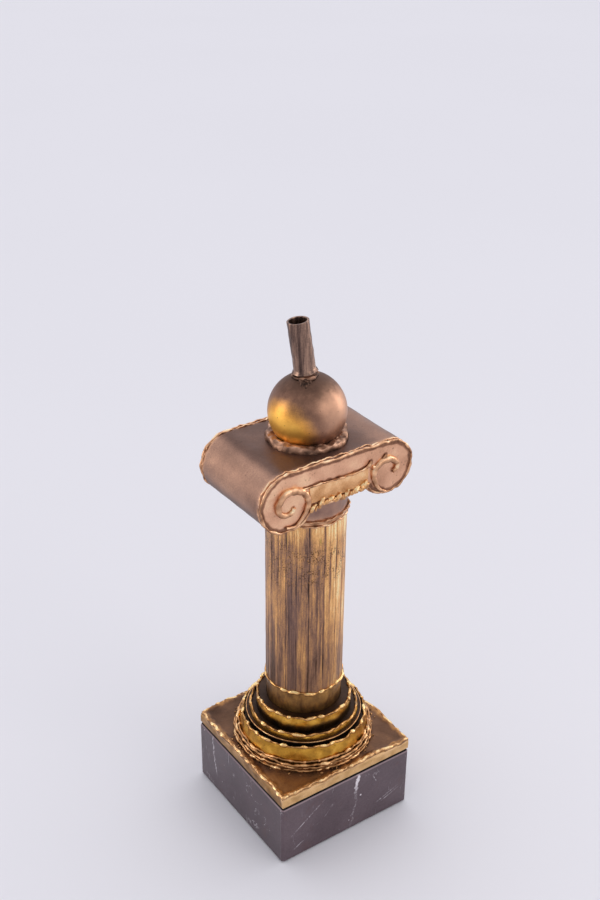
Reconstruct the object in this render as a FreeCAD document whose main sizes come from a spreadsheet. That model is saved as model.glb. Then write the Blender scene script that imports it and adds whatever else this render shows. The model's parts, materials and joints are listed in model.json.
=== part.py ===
import FreeCAD, Part
import math
import os

import Sketcher

# Display plinth: a marble block, a brass tray, three stepped bands, a fluted pipe column, a rolled Ionic
# capital and a ball with a leaning socket tube for the figure that the plinth carries.
# Millimetres. +Z is up, -Y is the front, and the origin is the middle of the underside.

doc = FreeCAD.newDocument("display_plinth")
sheet = doc.addObject("Spreadsheet::Sheet", "sizes")
parts = []

SIZES = [
    # marble block, felt and fixing
    ("block_size", 100), ("block_height", 43.4), ("block_chamfer", 1.5),
    ("felt_inset", 2), ("felt_thickness", 1.2),
    ("stud_radius", 4), ("stud_end", 3), ("stud_hole_clearance", 0.5), ("thread_clearance", 0.05),
    ("counterbore_radius", 14), ("counterbore_depth", 16),
    ("washer_radius", 12), ("washer_thickness", 2), ("nut_flats", 13), ("nut_height", 6.5),
    # brass tray on the block
    ("tray_inset", 0.6), ("tray_gap", 1.1), ("boss_radius", 15),
    ("strip_thickness", 1.5), ("strip_height", 6.5), ("tray_thickness", 1.5), ("tray_bead_radius", 0.7),
    ("tray_bead_rounding", 0.6),
    # stepped bands
    ("lower_foot_radius", 42.6), ("lower_top_radius", 40.3), ("lower_height", 15.3),
    ("lower_floor_depth", 1.5),
    ("flange_radius", 37.5), ("flange_thickness", 1), ("flange_rise", 2.9),
    ("middle_radius", 35.2), ("middle_height", 7.4), ("middle_floor_depth", 1.4),
    ("upper_radius", 30.7), ("upper_height", 10.7), ("upper_floor_depth", 0.2),
    ("band_wall", 1.5), ("floor_thickness", 1.2), ("band_bead_radius", 0.7),
    ("foot_ring_radius", 45), ("foot_ring_height", 3.6),
    ("foot_bead_radius", 1), ("step_bead_radius", 0.8), ("step_bead_rise", 6.2),
    # column
    ("pipe_radius", 24), ("pipe_wall", 1.5), ("pipe_clearance", 0.3), ("bare_foot_height", 16),
    ("jacket_thickness", 0.6), ("jacket_height", 123), ("flute_count", 24), ("flute_width", 2.4),
    ("flute_depth", 0.3), ("flute_overcut", 1), ("jacket_bead_radius", 0.7), ("neck_bead_radius", 1.1),
    ("drum_thickness", 0.7), ("drum_height", 17.8),
    # capital
    ("roll_radius", 17.6), ("roll_spacing", 71.4), ("capital_depth", 63.2), ("capital_wall", 1.2),
    ("soffit_rise", 8.2), ("edge_bead_radius", 0.8), ("scroll_radius", 0.9), ("scroll_gap", 0.3),
    ("scroll_climb_share", 0.86), ("scroll_over_share", 0.69), ("scroll_curl_share", 0.29),
    ("frieze_width", 39), ("frieze_height", 10.4), ("frieze_thickness", 0.8), ("frieze_lift", 3.2),
    ("frieze_line_length", 45), ("frieze_line_radius", 0.6),
    ("bead_count", 7), ("bead_pitch", 5.6), ("bead_half_length", 2.5),
    ("bead_slope", 1), ("bead_radius", 1.3), ("bead_core_radius", 0.7),
    # ball, collar and figure socket
    ("ball_radius", 23.1), ("ball_wall", 1.5), ("ball_sink", 6.8), ("ball_clearance", 0.1),
    ("collar_radius", 24.5), ("collar_top_radius", 21), ("collar_height", 3.4),
    ("socket_radius", 6.7), ("socket_bore_radius", 5.2), ("socket_lean", 8.1), ("socket_heading", 145.1),
    ("socket_offset", 1.9), ("socket_reach", 55.8), ("socket_depth", 30), ("socket_bead_radius", 0.9),
]
for row, (alias, size) in enumerate(SIZES, start=1):
    sheet.set(f"A{row}", alias)
    sheet.set(f"B{row}", str(size))
    sheet.setAlias(f"B{row}", alias)
doc.recompute()


def size_of(formula):
    """The number that a formula on the sheet's sizes gives now."""
    return float(sheet.evalExpression(formula))


def bind(thing, **formulas):
    """Ties properties to the sheet. x, y and z are the placement's corners; the rest are property names."""
    for name, formula in formulas.items():
        path = f"Placement.Base.{name}" if name in "xyz" else name
        thing.setExpression(path, formula)
    return thing


def keep(thing, label):
    """Marks a finished piece, whose label names its file."""
    thing.Label = label
    parts.append(thing)
    return thing


def box(name, length, width, height, **place):
    return bind(doc.addObject("Part::Box", name), Length=length, Width=width, Height=height, **place)


def upright(name, radius, height, **place):
    return bind(doc.addObject("Part::Cylinder", name), Radius=radius, Height=height, **place)


def lying(name, radius, length, **place):
    """A cylinder along +Y, from its place."""
    rod = upright(name, radius, length, **place)
    rod.Placement.Rotation = FreeCAD.Rotation(FreeCAD.Vector(1, 0, 0), -90)
    return rod


def sidelong(name, radius, length, **place):
    """A cylinder along +X, from its place."""
    rod = upright(name, radius, length, **place)
    rod.Placement.Rotation = FreeCAD.Rotation(FreeCAD.Vector(0, 1, 0), 90)
    return rod


def ball_at(name, radius, **place):
    return bind(doc.addObject("Part::Sphere", name), Radius=radius, **place)


def ring_bead(name, radius, bead, height):
    """A round bead of filler metal that runs round the axis."""
    return bind(doc.addObject("Part::Torus", name), Radius1=radius, Radius2=bead, z=height)


def cut(name, base, tool):
    result = doc.addObject("Part::Cut", name)
    result.Base, result.Tool = base, tool
    return result


def fuse(name, pieces):
    result = doc.addObject("Part::MultiFuse", name)
    result.Shapes = pieces
    return result


def origin_plane(body, role):
    return next(f for f in body.Origin.OriginFeatures if f.Role == role)


def new_sketch(body, name, role):
    sketch = body.newObject("Sketcher::SketchObject", name)
    sketch.AttachmentSupport = (origin_plane(body, role), [""])
    sketch.MapMode = "FlatFace"
    return sketch


def fix_point(sketch, line, end, across, up):
    """Holds one end of a line at a place worked out from the sheet."""
    for kind, formula in (("DistanceX", across), ("DistanceY", up)):
        index = sketch.addConstraint(Sketcher.Constraint(kind, line, end, size_of(formula)))
        sketch.setExpression(f"Constraints[{index}]", formula)


def closed_outline(sketch, corners):
    """A closed run of straight lines through corners, each a pair of formulas."""
    points = [FreeCAD.Vector(size_of(across), size_of(up), 0) for across, up in corners]
    count = len(points)
    for i in range(count):
        sketch.addGeometry(Part.LineSegment(points[i], points[(i + 1) % count]), False)
    for i in range(count):
        sketch.addConstraint(Sketcher.Constraint("Coincident", i, 2, (i + 1) % count, 1))
    for i, (across, up) in enumerate(corners):
        fix_point(sketch, i, 1, across, up)


def turned(label, corners):
    """A ring or tube turned about the axis from its half section, given as (radius, height) corners."""
    body = doc.addObject("PartDesign::Body", label)
    sketch = new_sketch(body, label + "_section", "XZ_Plane")
    closed_outline(sketch, corners)
    turn = body.newObject("PartDesign::Revolution", label + "_turn")
    turn.Profile = sketch
    turn.ReferenceAxis = (sketch, ["V_Axis"])
    turn.Angle = 360
    doc.recompute()
    return keep(body, label)


def turned_ring(label, inner, outer, bottom, top):
    return turned(label, [(inner, bottom), (outer, bottom), (outer, top), (inner, top)])


def square_corners(half):
    return [(f"-({half})", f"-({half})"), (half, f"-({half})"), (half, half), (f"-({half})", half)]


# Heights, from the surface that the plinth stands on
block_top = "(sizes.felt_thickness + sizes.block_height)"
strip_bottom = f"({block_top} + sizes.tray_gap)"
tray_bottom = f"({strip_bottom} + sizes.strip_height)"
tray_top = f"({tray_bottom} + sizes.tray_thickness)"
lower_top = f"({tray_top} + sizes.lower_height)"
lower_floor_top = f"({lower_top} - sizes.lower_floor_depth)"
middle_top = f"({lower_floor_top} + sizes.middle_height)"
middle_floor_top = f"({middle_top} - sizes.middle_floor_depth)"
upper_top = f"({middle_floor_top} + sizes.upper_height)"
upper_floor_top = f"({upper_top} - sizes.upper_floor_depth)"
jacket_bottom = f"({upper_floor_top} + sizes.bare_foot_height)"
jacket_top = f"({jacket_bottom} + sizes.jacket_height)"
drum_bottom = f"({jacket_top} + 2 * sizes.neck_bead_radius)"
soffit = f"({drum_bottom} + sizes.drum_height)"
roll_bottom = f"({soffit} - sizes.soffit_rise)"
roll_middle = f"({roll_bottom} + sizes.roll_radius)"
capital_top = f"({roll_middle} + sizes.roll_radius)"
ball_middle = f"({capital_top} - sizes.ball_sink + sizes.ball_radius)"


def felt():
    side = "sizes.block_size - 2 * sizes.felt_inset"
    pad = box("felt", side, side, "sizes.felt_thickness", x=f"-({side}) / 2", y=f"-({side}) / 2")
    keep(pad, "felt_pad")


def marble():
    """The block: bevelled on its top and upright edges, bored for the stud and counterbored for its nut."""
    body = doc.addObject("PartDesign::Body", "marble")
    square = new_sketch(body, "marble_square", "XY_Plane")
    closed_outline(square, square_corners("sizes.block_size / 2"))
    square.setExpression("AttachmentOffset.Base.z", "sizes.felt_thickness")
    block = body.newObject("PartDesign::Pad", "marble_pad")
    block.Profile = square
    block.setExpression("Length", "sizes.block_height")
    doc.recompute()
    edges = enumerate(block.Shape.Edges, start=1)
    middle = block.Shape.BoundBox.Center.z
    upper = [f"Edge{i}" for i, edge in edges if edge.BoundBox.ZMax > middle]
    bevel = body.newObject("PartDesign::Chamfer", "marble_bevel")
    bevel.Base = (block, upper)
    bevel.setExpression("Size", "sizes.block_chamfer")
    doc.recompute()
    holes = [
        ("bolt", "sizes.stud_radius + sizes.stud_hole_clearance", "sizes.block_height"),
        ("counterbore", "sizes.counterbore_radius", "sizes.counterbore_depth"),
    ]
    for name, radius, depth in holes:
        circle = new_sketch(body, f"marble_{name}_circle", "XY_Plane")
        circle.setExpression("AttachmentOffset.Base.z", "sizes.felt_thickness")
        outline = Part.Circle(FreeCAD.Vector(0, 0, 0), FreeCAD.Vector(0, 0, 1), size_of(radius))
        circle.addGeometry(outline, False)
        circle.addConstraint(Sketcher.Constraint("Coincident", 0, 3, -1, 1))
        size = circle.addConstraint(Sketcher.Constraint("Radius", 0, size_of(radius)))
        circle.setExpression(f"Constraints[{size}]", radius)
        bore = body.newObject("PartDesign::Pocket", f"marble_{name}")
        bore.Profile = circle
        bore.Reversed = True
        bore.setExpression("Length", depth)
        doc.recompute()
    keep(body, "marble_block")


def fixing():
    """The stud brazed under the tray, with the washer and nut that draw the block up to it."""
    ceiling = "(sizes.felt_thickness + sizes.counterbore_depth)"
    washer_bottom = f"({ceiling} - sizes.washer_thickness)"
    nut_bottom = f"({washer_bottom} - sizes.nut_height)"
    stud_bottom = f"({nut_bottom} - sizes.stud_end)"
    keep(upright("stud", "sizes.stud_radius", f"{tray_bottom} - {stud_bottom}", z=stud_bottom), "fixing_stud")
    bore = "sizes.stud_radius + sizes.thread_clearance"
    turned_ring("fixing_washer", bore, "sizes.washer_radius", washer_bottom, ceiling)
    hexagon = doc.addObject("Part::Prism", "nut_hexagon")
    hexagon.Polygon = 6
    bind(hexagon, Circumradius="sizes.nut_flats / 2 / cos(30)", Height="sizes.nut_height", z=nut_bottom)
    keep(cut("nut", hexagon, upright("nut_bore", bore, "sizes.nut_height", z=nut_bottom)), "fixing_nut")
    turned_ring("tray_boss", bore, "sizes.boss_radius", block_top, tray_bottom)


def tray():
    """A square sheet on four side strips, with a melted bead along its upper edges."""
    side = "(sizes.block_size - 2 * sizes.tray_inset)"
    half, wall, height = f"({side} / 2)", "sizes.strip_thickness", "sizes.strip_height"
    plate = box("tray", side, side, "sizes.tray_thickness", x=f"-{half}", y=f"-{half}", z=tray_bottom)
    keep(plate, "tray_sheet")
    short = f"({side} - 2 * {wall})"
    strips = [
        ("front", side, wall, f"-{half}", f"-{half}"),
        ("back", side, wall, f"-{half}", f"{half} - {wall}"),
        ("left", wall, short, f"-{half}", f"-{short} / 2"),
        ("right", wall, short, f"{half} - {wall}", f"-{short} / 2"),
    ]
    for name, length, width, x, y in strips:
        keep(box(f"strip_{name}", length, width, height, x=x, y=y, z=strip_bottom), f"side_strip_{name}")
    tray_bead(half)


def tray_bead(half):
    """The melted bead along the tray's upper edges, as one square frame with rounded upper edges."""
    thick = "2 * sizes.tray_bead_radius"
    body = doc.addObject("PartDesign::Body", "tray_bead")
    outline = new_sketch(body, "tray_bead_outline", "XY_Plane")
    closed_outline(outline, square_corners(half))
    outline.setExpression("AttachmentOffset.Base.z", tray_top)
    solid = body.newObject("PartDesign::Pad", "tray_bead_pad")
    solid.Profile = outline
    solid.setExpression("Length", thick)
    doc.recompute()
    inside = new_sketch(body, "tray_bead_inside", "XY_Plane")
    closed_outline(inside, square_corners(f"{half} - {thick}"))
    inside.setExpression("AttachmentOffset.Base.z", tray_top)
    hollow = body.newObject("PartDesign::Pocket", "tray_bead_hollow")
    hollow.Profile = inside
    hollow.Reversed = True
    hollow.setExpression("Length", thick)
    doc.recompute()
    edges = enumerate(hollow.Shape.Edges, start=1)
    middle = hollow.Shape.BoundBox.Center.z
    rounding = body.newObject("PartDesign::Fillet", "tray_bead_rounding")
    rounding.Base = (hollow, [f"Edge{i}" for i, edge in edges if edge.BoundBox.ZMin > middle])
    rounding.setExpression("Radius", "sizes.tray_bead_rounding")
    doc.recompute()
    keep(body, "tray_edge_bead")


def bands():
    """Three bands that step in towards the column, each with a floor round the pipe and a melted rim."""
    wall, bead = "sizes.band_wall", "sizes.band_bead_radius"
    hole = "sizes.pipe_radius + sizes.pipe_clearance"
    foot, top = "sizes.lower_foot_radius", "sizes.lower_top_radius"
    inner_foot, inner_top = f"{foot} - {wall}", f"{top} - {wall}"
    turned("lower_band", [(inner_foot, tray_top), (foot, tray_top), (top, lower_top), (inner_top, lower_top)])
    stack = [
        ("lower", top, lower_top, lower_floor_top),
        ("middle", "sizes.middle_radius", middle_top, middle_floor_top),
        ("upper", "sizes.upper_radius", upper_top, upper_floor_top),
    ]
    below = None
    for name, radius, rim, floor in stack:
        if below:
            turned_ring(f"{name}_band", f"{radius} - {wall}", radius, below, rim)
        turned_ring(f"{name}_floor", hole, f"{radius} - {wall}", f"{floor} - sizes.floor_thickness", floor)
        keep(ring_bead(f"{name}_bead", f"{radius} - {wall} / 2", bead, f"{rim} + {bead}"), f"{name}_rim_bead")
        below = floor
    flange = f"({lower_floor_top} + sizes.flange_rise)"
    turned_ring("band_flange", "sizes.middle_radius", "sizes.flange_radius", flange,
                f"{flange} + sizes.flange_thickness")
    ring_top = f"({tray_top} + sizes.foot_ring_height)"
    turned("foot_ring", [(foot, tray_top), ("sizes.foot_ring_radius", tray_top),
                         ("sizes.foot_ring_radius", ring_top), (foot, ring_top)])
    thick = "sizes.foot_bead_radius"
    run, level = f"sizes.foot_ring_radius - {thick}", f"{ring_top} + {thick}"
    keep(ring_bead("foot_bead", run, thick, level), "foot_ring_bead")
    taper = f"(({foot} - {top}) * sizes.step_bead_rise / sizes.lower_height)"
    thick, level = "sizes.step_bead_radius", f"{tray_top} + sizes.step_bead_rise"
    keep(ring_bead("step_bead", f"{foot} - {taper} + {thick}", thick, level), "band_step_bead")


def roll_pair(name, radius, front, depth):
    """Both rolls of the capital as solid cylinders along Y, from the front plane back."""
    half = "(sizes.roll_spacing / 2)"
    return [
        lying(f"{name}_left", radius, depth, x=f"-{half}", y=front, z=roll_middle),
        lying(f"{name}_right", radius, depth, x=half, y=front, z=roll_middle),
    ]


def capital_block(name, inset, front, depth):
    """The capital's outline as a solid: a bar between two rolls, all of it inset by a wall or by nothing."""
    bar = box(f"{name}_bar", "sizes.roll_spacing", depth, f"{capital_top} - {soffit} - 2 * {inset}",
              x="-sizes.roll_spacing / 2", y=front, z=f"{soffit} + {inset}")
    return fuse(name, [bar] + roll_pair(name, f"sizes.roll_radius - {inset}", front, depth))


def column():
    """The pipe, bare at its foot, with the fluted jacket, the neck bead and the smooth drum above it."""
    front, depth = "-sizes.capital_depth / 2", "sizes.capital_depth"
    radius, inner = "sizes.pipe_radius", "sizes.pipe_radius - sizes.pipe_wall"
    pipe = cut("pipe_tube", upright("pipe_outside", radius, f"{soffit} - {tray_top}", z=tray_top),
               upright("pipe_inside", inner, f"{soffit} - {tray_top}", z=tray_top))
    keep(cut("pipe", pipe, fuse("pipe_saddle", roll_pair("pipe_roll", "sizes.roll_radius", front, depth))),
         "column_pipe")
    drum = cut("drum_tube", upright("drum_outside", f"{radius} + sizes.drum_thickness", "sizes.drum_height",
                                    z=drum_bottom),
               upright("drum_inside", radius, "sizes.drum_height", z=drum_bottom))
    keep(cut("drum", drum, fuse("drum_saddle", roll_pair("drum_roll", "sizes.roll_radius", front, depth))),
         "neck_drum")
    for label, bead, height in (
        ("jacket_foot_bead", "sizes.jacket_bead_radius", f"{jacket_bottom} - sizes.jacket_bead_radius"),
        ("neck_bead", "sizes.neck_bead_radius", f"{jacket_top} + sizes.neck_bead_radius"),
    ):
        keep(ring_bead(label + "_ring", f"{radius} + {bead}", bead, height), label)
    jacket()


def jacket():
    """A thin sheet round the pipe, scored with flutes from end to end."""
    inner, outer = "sizes.pipe_radius", "(sizes.pipe_radius + sizes.jacket_thickness)"
    body = doc.addObject("PartDesign::Body", "jacket")
    section = new_sketch(body, "jacket_section", "XZ_Plane")
    low, high = jacket_bottom, jacket_top
    closed_outline(section, [(inner, low), (outer, low), (outer, high), (inner, high)])
    sheet_turn = body.newObject("PartDesign::Revolution", "jacket_turn")
    sheet_turn.Profile = section
    sheet_turn.ReferenceAxis = (section, ["V_Axis"])
    sheet_turn.Angle = 360
    doc.recompute()
    whole = sheet_turn.Shape.Volume
    half = "sizes.flute_width / 2"
    bed, clear = f"{outer} - sizes.flute_depth", f"{outer} + sizes.flute_overcut"
    slot = new_sketch(body, "jacket_slot", "XY_Plane")
    closed_outline(slot, [(bed, f"-{half}"), (clear, f"-{half}"), (clear, half), (bed, half)])
    slot.setExpression("AttachmentOffset.Base.z", jacket_bottom)
    flute = body.newObject("PartDesign::Pocket", "jacket_flute")
    flute.Profile = slot
    flute.Reversed = True
    flute.setExpression("Length", "sizes.jacket_height")
    doc.recompute()
    flutes = body.newObject("PartDesign::PolarPattern", "jacket_flutes")
    flutes.Originals = [flute]
    flutes.Axis = (slot, ["N_Axis"])
    flutes.Angle = 360
    flutes.setExpression("Occurrences", "sizes.flute_count")
    body.Tip = flutes
    doc.recompute()
    if body.Shape.Volume >= whole:
        raise RuntimeError("the flutes cut nothing from the jacket")
    keep(body, "fluted_jacket")


def capital():
    """A sheet rolled over at both sides, a soffit under it, and an ornamented plate at each end."""
    wall = "sizes.capital_wall"
    length = f"(sizes.capital_depth - 2 * {wall})"
    outside = capital_block("rolled_outside", "0", f"-{length} / 2", length)
    inside = capital_block("rolled_inside", wall, f"-{length} / 2", length)
    chord = f"(sizes.roll_spacing / 2 - sqrt(sizes.roll_radius ^ 2 - ({roll_middle} - {soffit}) ^ 2))"
    opening = box("soffit_opening", f"2 * {chord}", length, wall, x=f"-{chord}", y=f"-{length} / 2", z=soffit)
    seat = upright("ball_hole", "sqrt(sizes.ball_radius ^ 2 - (sizes.ball_radius - sizes.ball_sink) ^ 2)"
                   " + sizes.ball_clearance", f"2 * {wall}", z=f"{capital_top} - 1.5 * {wall}")
    shell = cut("rolled_shell", outside, inside)
    keep(cut("rolled_sheet", cut("rolled_open", shell, opening), seat), "rolled_cover")
    under = box("soffit", f"2 * {chord}", length, wall, x=f"-{chord}", y=f"-{length} / 2", z=soffit)
    keep(under, "soffit_sheet")
    for side, sign in (("front", -1), ("back", 1)):
        end_plate(side, sign)


def end_plate(side, sign):
    """One end of the capital: the plate, the bead round it, two scrolls, the frieze and the row of beads."""
    half_depth, wall = "(sizes.capital_depth / 2)", "sizes.capital_wall"
    back_of = {-1: f"-{half_depth}", 1: f"{half_depth} - {wall}"}
    keep(capital_block(f"{side}_end", "0", back_of[sign], wall), f"{side}_plate")

    def proud(thickness):
        """Where something this thick starts in Y when it stands on the plate's outer face."""
        return f"-{half_depth} - {thickness}" if sign < 0 else half_depth

    def line_on_face(radius):
        """Y of the middle of a bead that lies on the plate's outer face."""
        return f"{sign} * ({half_depth} + {radius})"

    low = f"({soffit} + sizes.frieze_lift)"
    keep(box(f"{side}_band", "sizes.frieze_width", "sizes.frieze_thickness", "sizes.frieze_height",
             x="-sizes.frieze_width / 2", y=proud("sizes.frieze_thickness"), z=low), f"{side}_frieze")
    rod = "sizes.frieze_line_radius"
    keep(sidelong(f"{side}_line", rod, "sizes.frieze_line_length", x="-sizes.frieze_line_length / 2",
                  y=line_on_face(rod), z=f"{low} + sizes.frieze_height + {rod}"), f"{side}_frieze_line")
    bead_row(side, sign)
    edge_bead(side, sign)
    for hand, way in (("left", -1), ("right", 1)):
        scroll(side, sign, hand, way)


def bead_row(side, sign):
    """The row of long beads under the frieze, turned as one bar with a thinner core between the beads."""
    core, crown = "sizes.bead_core_radius", "sizes.bead_radius"
    count = int(size_of("sizes.bead_count"))
    first = f"-({count} - 1) / 2 * sizes.bead_pitch"
    upper = []
    for i in range(count):
        x = f"({first} + {i} * sizes.bead_pitch)"
        flank, shoulder = "sizes.bead_half_length", "sizes.bead_half_length - sizes.bead_slope"
        upper += [(f"{x} - ({flank})", core), (f"{x} - ({shoulder})", crown)]
        upper += [(f"{x} + ({shoulder})", crown), (f"{x} + ({flank})", core)]
    ends = [(upper[-1][0], "0"), (upper[0][0], "0")]
    body = doc.addObject("PartDesign::Body", f"{side}_beads")
    sketch = new_sketch(body, f"{side}_bead_profile", "XZ_Plane")
    closed_outline(sketch, upper + ends)
    sketch.setExpression("AttachmentOffset.Base.y", f"{soffit} + {crown}")
    sketch.setExpression("AttachmentOffset.Base.z", f"{-sign} * (sizes.capital_depth / 2 + {crown})")
    turn = body.newObject("PartDesign::Revolution", f"{side}_bead_turn")
    turn.Profile = sketch
    turn.ReferenceAxis = (sketch, ["H_Axis"])
    turn.Angle = 360
    doc.recompute()
    keep(body, f"{side}_bead_row")


def swept(label, edges, start, along, bead):
    """A round bead that follows edges, with its section at the path's start."""
    path = doc.addObject("Part::Feature", label + "_path")
    path.Shape = Part.Wire(edges)
    section = doc.addObject("Part::Feature", label + "_section")
    section.Shape = Part.Wire([Part.makeCircle(bead, start, along)])
    sweep = doc.addObject("Part::Sweep", label + "_sweep")
    sweep.Sections = [section]
    sweep.Spine = (path, [])
    sweep.Solid = True
    sweep.Frenet = False
    doc.recompute()
    return keep(sweep, label)


def arc_on_face(middle_x, middle_z, radius, y, start, end):
    """An arc in the plane of an end plate. Angles are in degrees from +X towards +Z."""
    def point(angle):
        turn = math.radians(angle)
        return FreeCAD.Vector(middle_x + radius * math.cos(turn), y, middle_z + radius * math.sin(turn))
    return Part.Arc(point(start), point((start + end) / 2), point(end)).toShape()


def edge_bead(side, sign):
    """The melted bead along a plate's outline, from one roll's underside over the top to the other's."""
    bead = size_of("sizes.edge_bead_radius")
    y = sign * (size_of("sizes.capital_depth") / 2 + bead)
    radius = size_of("sizes.roll_radius") - bead
    x, z = size_of("sizes.roll_spacing") / 2, size_of(roll_middle)
    left = arc_on_face(-x, z, radius, y, -90, -270)
    right = arc_on_face(x, z, radius, y, 90, -90)
    top = Part.LineSegment(FreeCAD.Vector(-x, y, z + radius), FreeCAD.Vector(x, y, z + radius)).toShape()
    start = FreeCAD.Vector(-x, y, z - radius)
    swept(f"{side}_edge_bead", [left, top, right], start, FreeCAD.Vector(1, 0, 0), bead)


def scroll(side, sign, hand, way):
    """One volute: a bead that climbs the inside of the roll's face and winds inwards in three arcs."""
    bead = size_of("sizes.scroll_radius")
    y = sign * (size_of("sizes.capital_depth") / 2 + bead)
    rim = size_of("sizes.roll_radius - 2 * sizes.edge_bead_radius - sizes.scroll_gap") - bead
    x, z = size_of("sizes.roll_spacing") / 2, size_of(roll_middle)
    climb, over, curl = (rim * size_of(f"sizes.scroll_{turn}_share") for turn in ("climb", "over", "curl"))
    level = z - rim + climb
    side_x = x - climb
    arcs = [(x, climb, -90, -180), (side_x + over, over, 180, 0), (side_x + 2 * over - curl, curl, 0, -180)]
    edges = []
    for middle_x, radius, begin, finish in arcs:
        if way < 0:
            middle_x, begin, finish = -middle_x, 180 - begin, 180 - finish
        edges.append(arc_on_face(middle_x, level, radius, y, begin, finish))
    start = FreeCAD.Vector(way * x, y, level - climb)
    swept(f"{side}_scroll_{hand}", edges, start, FreeCAD.Vector(1, 0, 0), bead)


def ball_and_socket():
    """The hollow ball sunk in the capital, its brazed collar, and the leaning tube for the figure's peg."""
    radius = "sizes.ball_radius"
    shell = cut("ball_shell", ball_at("ball_outside", radius, z=ball_middle),
                ball_at("ball_inside", f"{radius} - sizes.ball_wall", z=ball_middle))
    keep(shell, "ball")
    cone = bind(doc.addObject("Part::Cone", "collar_cone"), Radius1="sizes.collar_radius",
                Radius2="sizes.collar_top_radius", Height="sizes.collar_height", z=capital_top)
    keep(cut("collar", cone, ball_at("collar_hollow", radius, z=ball_middle)), "ball_collar")

    heading, lean = math.radians(size_of("sizes.socket_heading")), math.radians(size_of("sizes.socket_lean"))
    aside = math.sin(lean)
    axis = FreeCAD.Vector(aside * math.cos(heading), aside * math.sin(heading), math.cos(lean))
    turn = FreeCAD.Rotation(FreeCAD.Vector(0, 0, 1), axis)
    offset = "sizes.socket_offset"
    base = {"x": f"-{offset} * cos(sizes.socket_heading)", "y": f"-{offset} * sin(sizes.socket_heading)",
            "z": ball_middle}
    solid = "(sizes.socket_reach - sizes.socket_depth)"
    floor = {name: f"{base[name]} + {solid} * {share}" for name, share in zip("xyz", axis)}
    outside = upright("socket_outside", "sizes.socket_radius", "sizes.socket_reach", **base)
    bore = upright("socket_bore", "sizes.socket_bore_radius", "sizes.socket_depth", **floor)
    outside.Placement.Rotation = bore.Placement.Rotation = turn
    tube = cut("socket_tube", outside, bore)
    keep(cut("socket", tube, ball_at("socket_hollow", radius, z=ball_middle)), "figure_socket")
    bead, around = "sizes.socket_bead_radius", "(sizes.socket_radius + sizes.socket_bead_radius)"
    ring = bind(doc.addObject("Part::Torus", "socket_ring"), Radius1=around, Radius2=bead)
    foot = FreeCAD.Vector(*(size_of(base[name]) for name in "xyz"))
    rise = size_of(f"sqrt(({radius} + {bead}) ^ 2 - {around} ^ 2)")
    ring.Placement = FreeCAD.Placement(foot + axis * rise, turn)
    keep(cut("socket_bead", ring, ball_at("ring_hollow", radius, z=ball_middle)), "socket_bead_ring")


felt()
marble()
fixing()
tray()
bands()
column()
capital()
ball_and_socket()
doc.recompute()

failed = [thing.Name for thing in doc.Objects if {"Invalid", "Error"} & set(thing.State)]
failed += [part.Label for part in parts if part.Shape.isNull() or not part.Shape.isValid()]
if failed:
    raise RuntimeError(f"these did not build: {failed}")
os.makedirs("parts", exist_ok=True)
for part in parts:
    part.Shape.exportStep(f"parts/{part.Label}.step")
print(len(parts), "pieces written")
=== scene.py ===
import json
import math
import random

import bpy
from mathutils import Euler, Matrix, Vector, kdtree, noise


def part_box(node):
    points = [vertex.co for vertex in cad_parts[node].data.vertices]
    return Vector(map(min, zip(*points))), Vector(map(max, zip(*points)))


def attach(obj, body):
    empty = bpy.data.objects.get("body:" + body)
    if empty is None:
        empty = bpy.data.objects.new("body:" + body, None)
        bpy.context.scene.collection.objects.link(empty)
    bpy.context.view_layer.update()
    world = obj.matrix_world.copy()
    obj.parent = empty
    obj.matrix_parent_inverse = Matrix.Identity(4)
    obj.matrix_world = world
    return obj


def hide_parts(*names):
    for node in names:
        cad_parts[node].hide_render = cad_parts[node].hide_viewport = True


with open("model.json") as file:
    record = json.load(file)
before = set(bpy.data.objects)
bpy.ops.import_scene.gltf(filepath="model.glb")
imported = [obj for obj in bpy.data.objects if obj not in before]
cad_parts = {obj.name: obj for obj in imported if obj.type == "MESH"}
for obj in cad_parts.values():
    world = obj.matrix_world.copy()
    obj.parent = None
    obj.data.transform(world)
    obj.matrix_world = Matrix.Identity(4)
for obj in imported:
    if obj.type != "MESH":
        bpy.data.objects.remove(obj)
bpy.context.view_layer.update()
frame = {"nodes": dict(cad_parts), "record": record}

mm = 0.001
up = Vector((0, 0, 1))


def corners(node):
    # a CAD node's lowest and highest corners, in mm
    low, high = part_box(node)
    return Vector(low) / mm, Vector(high) / mm


def between(low, high, share):
    return low + (high - low) * share


def rise(value, start, end):
    # a smooth step from 0 at start to 1 at end
    share = max(0.0, min(1.0, (value - start) / (end - start)))
    return share * share * (3 - 2 * share)


def grain(point, size, seed=0.0):
    # smooth noise from about -1 to 1 whose lumps are about this many mm across
    return noise.noise(point / size + Vector((seed * 7.31, seed * -3.17, seed * 5.73)))


def drift(point, size, amount, seed=0.0):
    # an uneven offset in all three directions
    shifts = [grain(point, size, seed + 10 * axis) for axis in range(3)]
    return Vector(shifts) * amount


def uneven(point, how):
    # an uneven height, from its amount, the size of its lumps and its seed
    amount, size, seed = how
    return amount * grain(point, size, seed)


def wander(point, how):
    # an uneven offset, from the same three
    amount, size, seed = how
    return drift(point, size, amount, seed)


def sideways(point):
    # the level direction from the plinth's axis to a point
    return Vector((point.x, point.y, 0)).normalized()


def paint(red, green, blue, gain=1.0):
    # a colour as it looks on a screen, from 0 to 255, in the shader's own scale
    return tuple(min(1.0, gain * ((tone / 255 + 0.055) / 1.055) ** 2.4) for tone in (red, green, blue))


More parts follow.
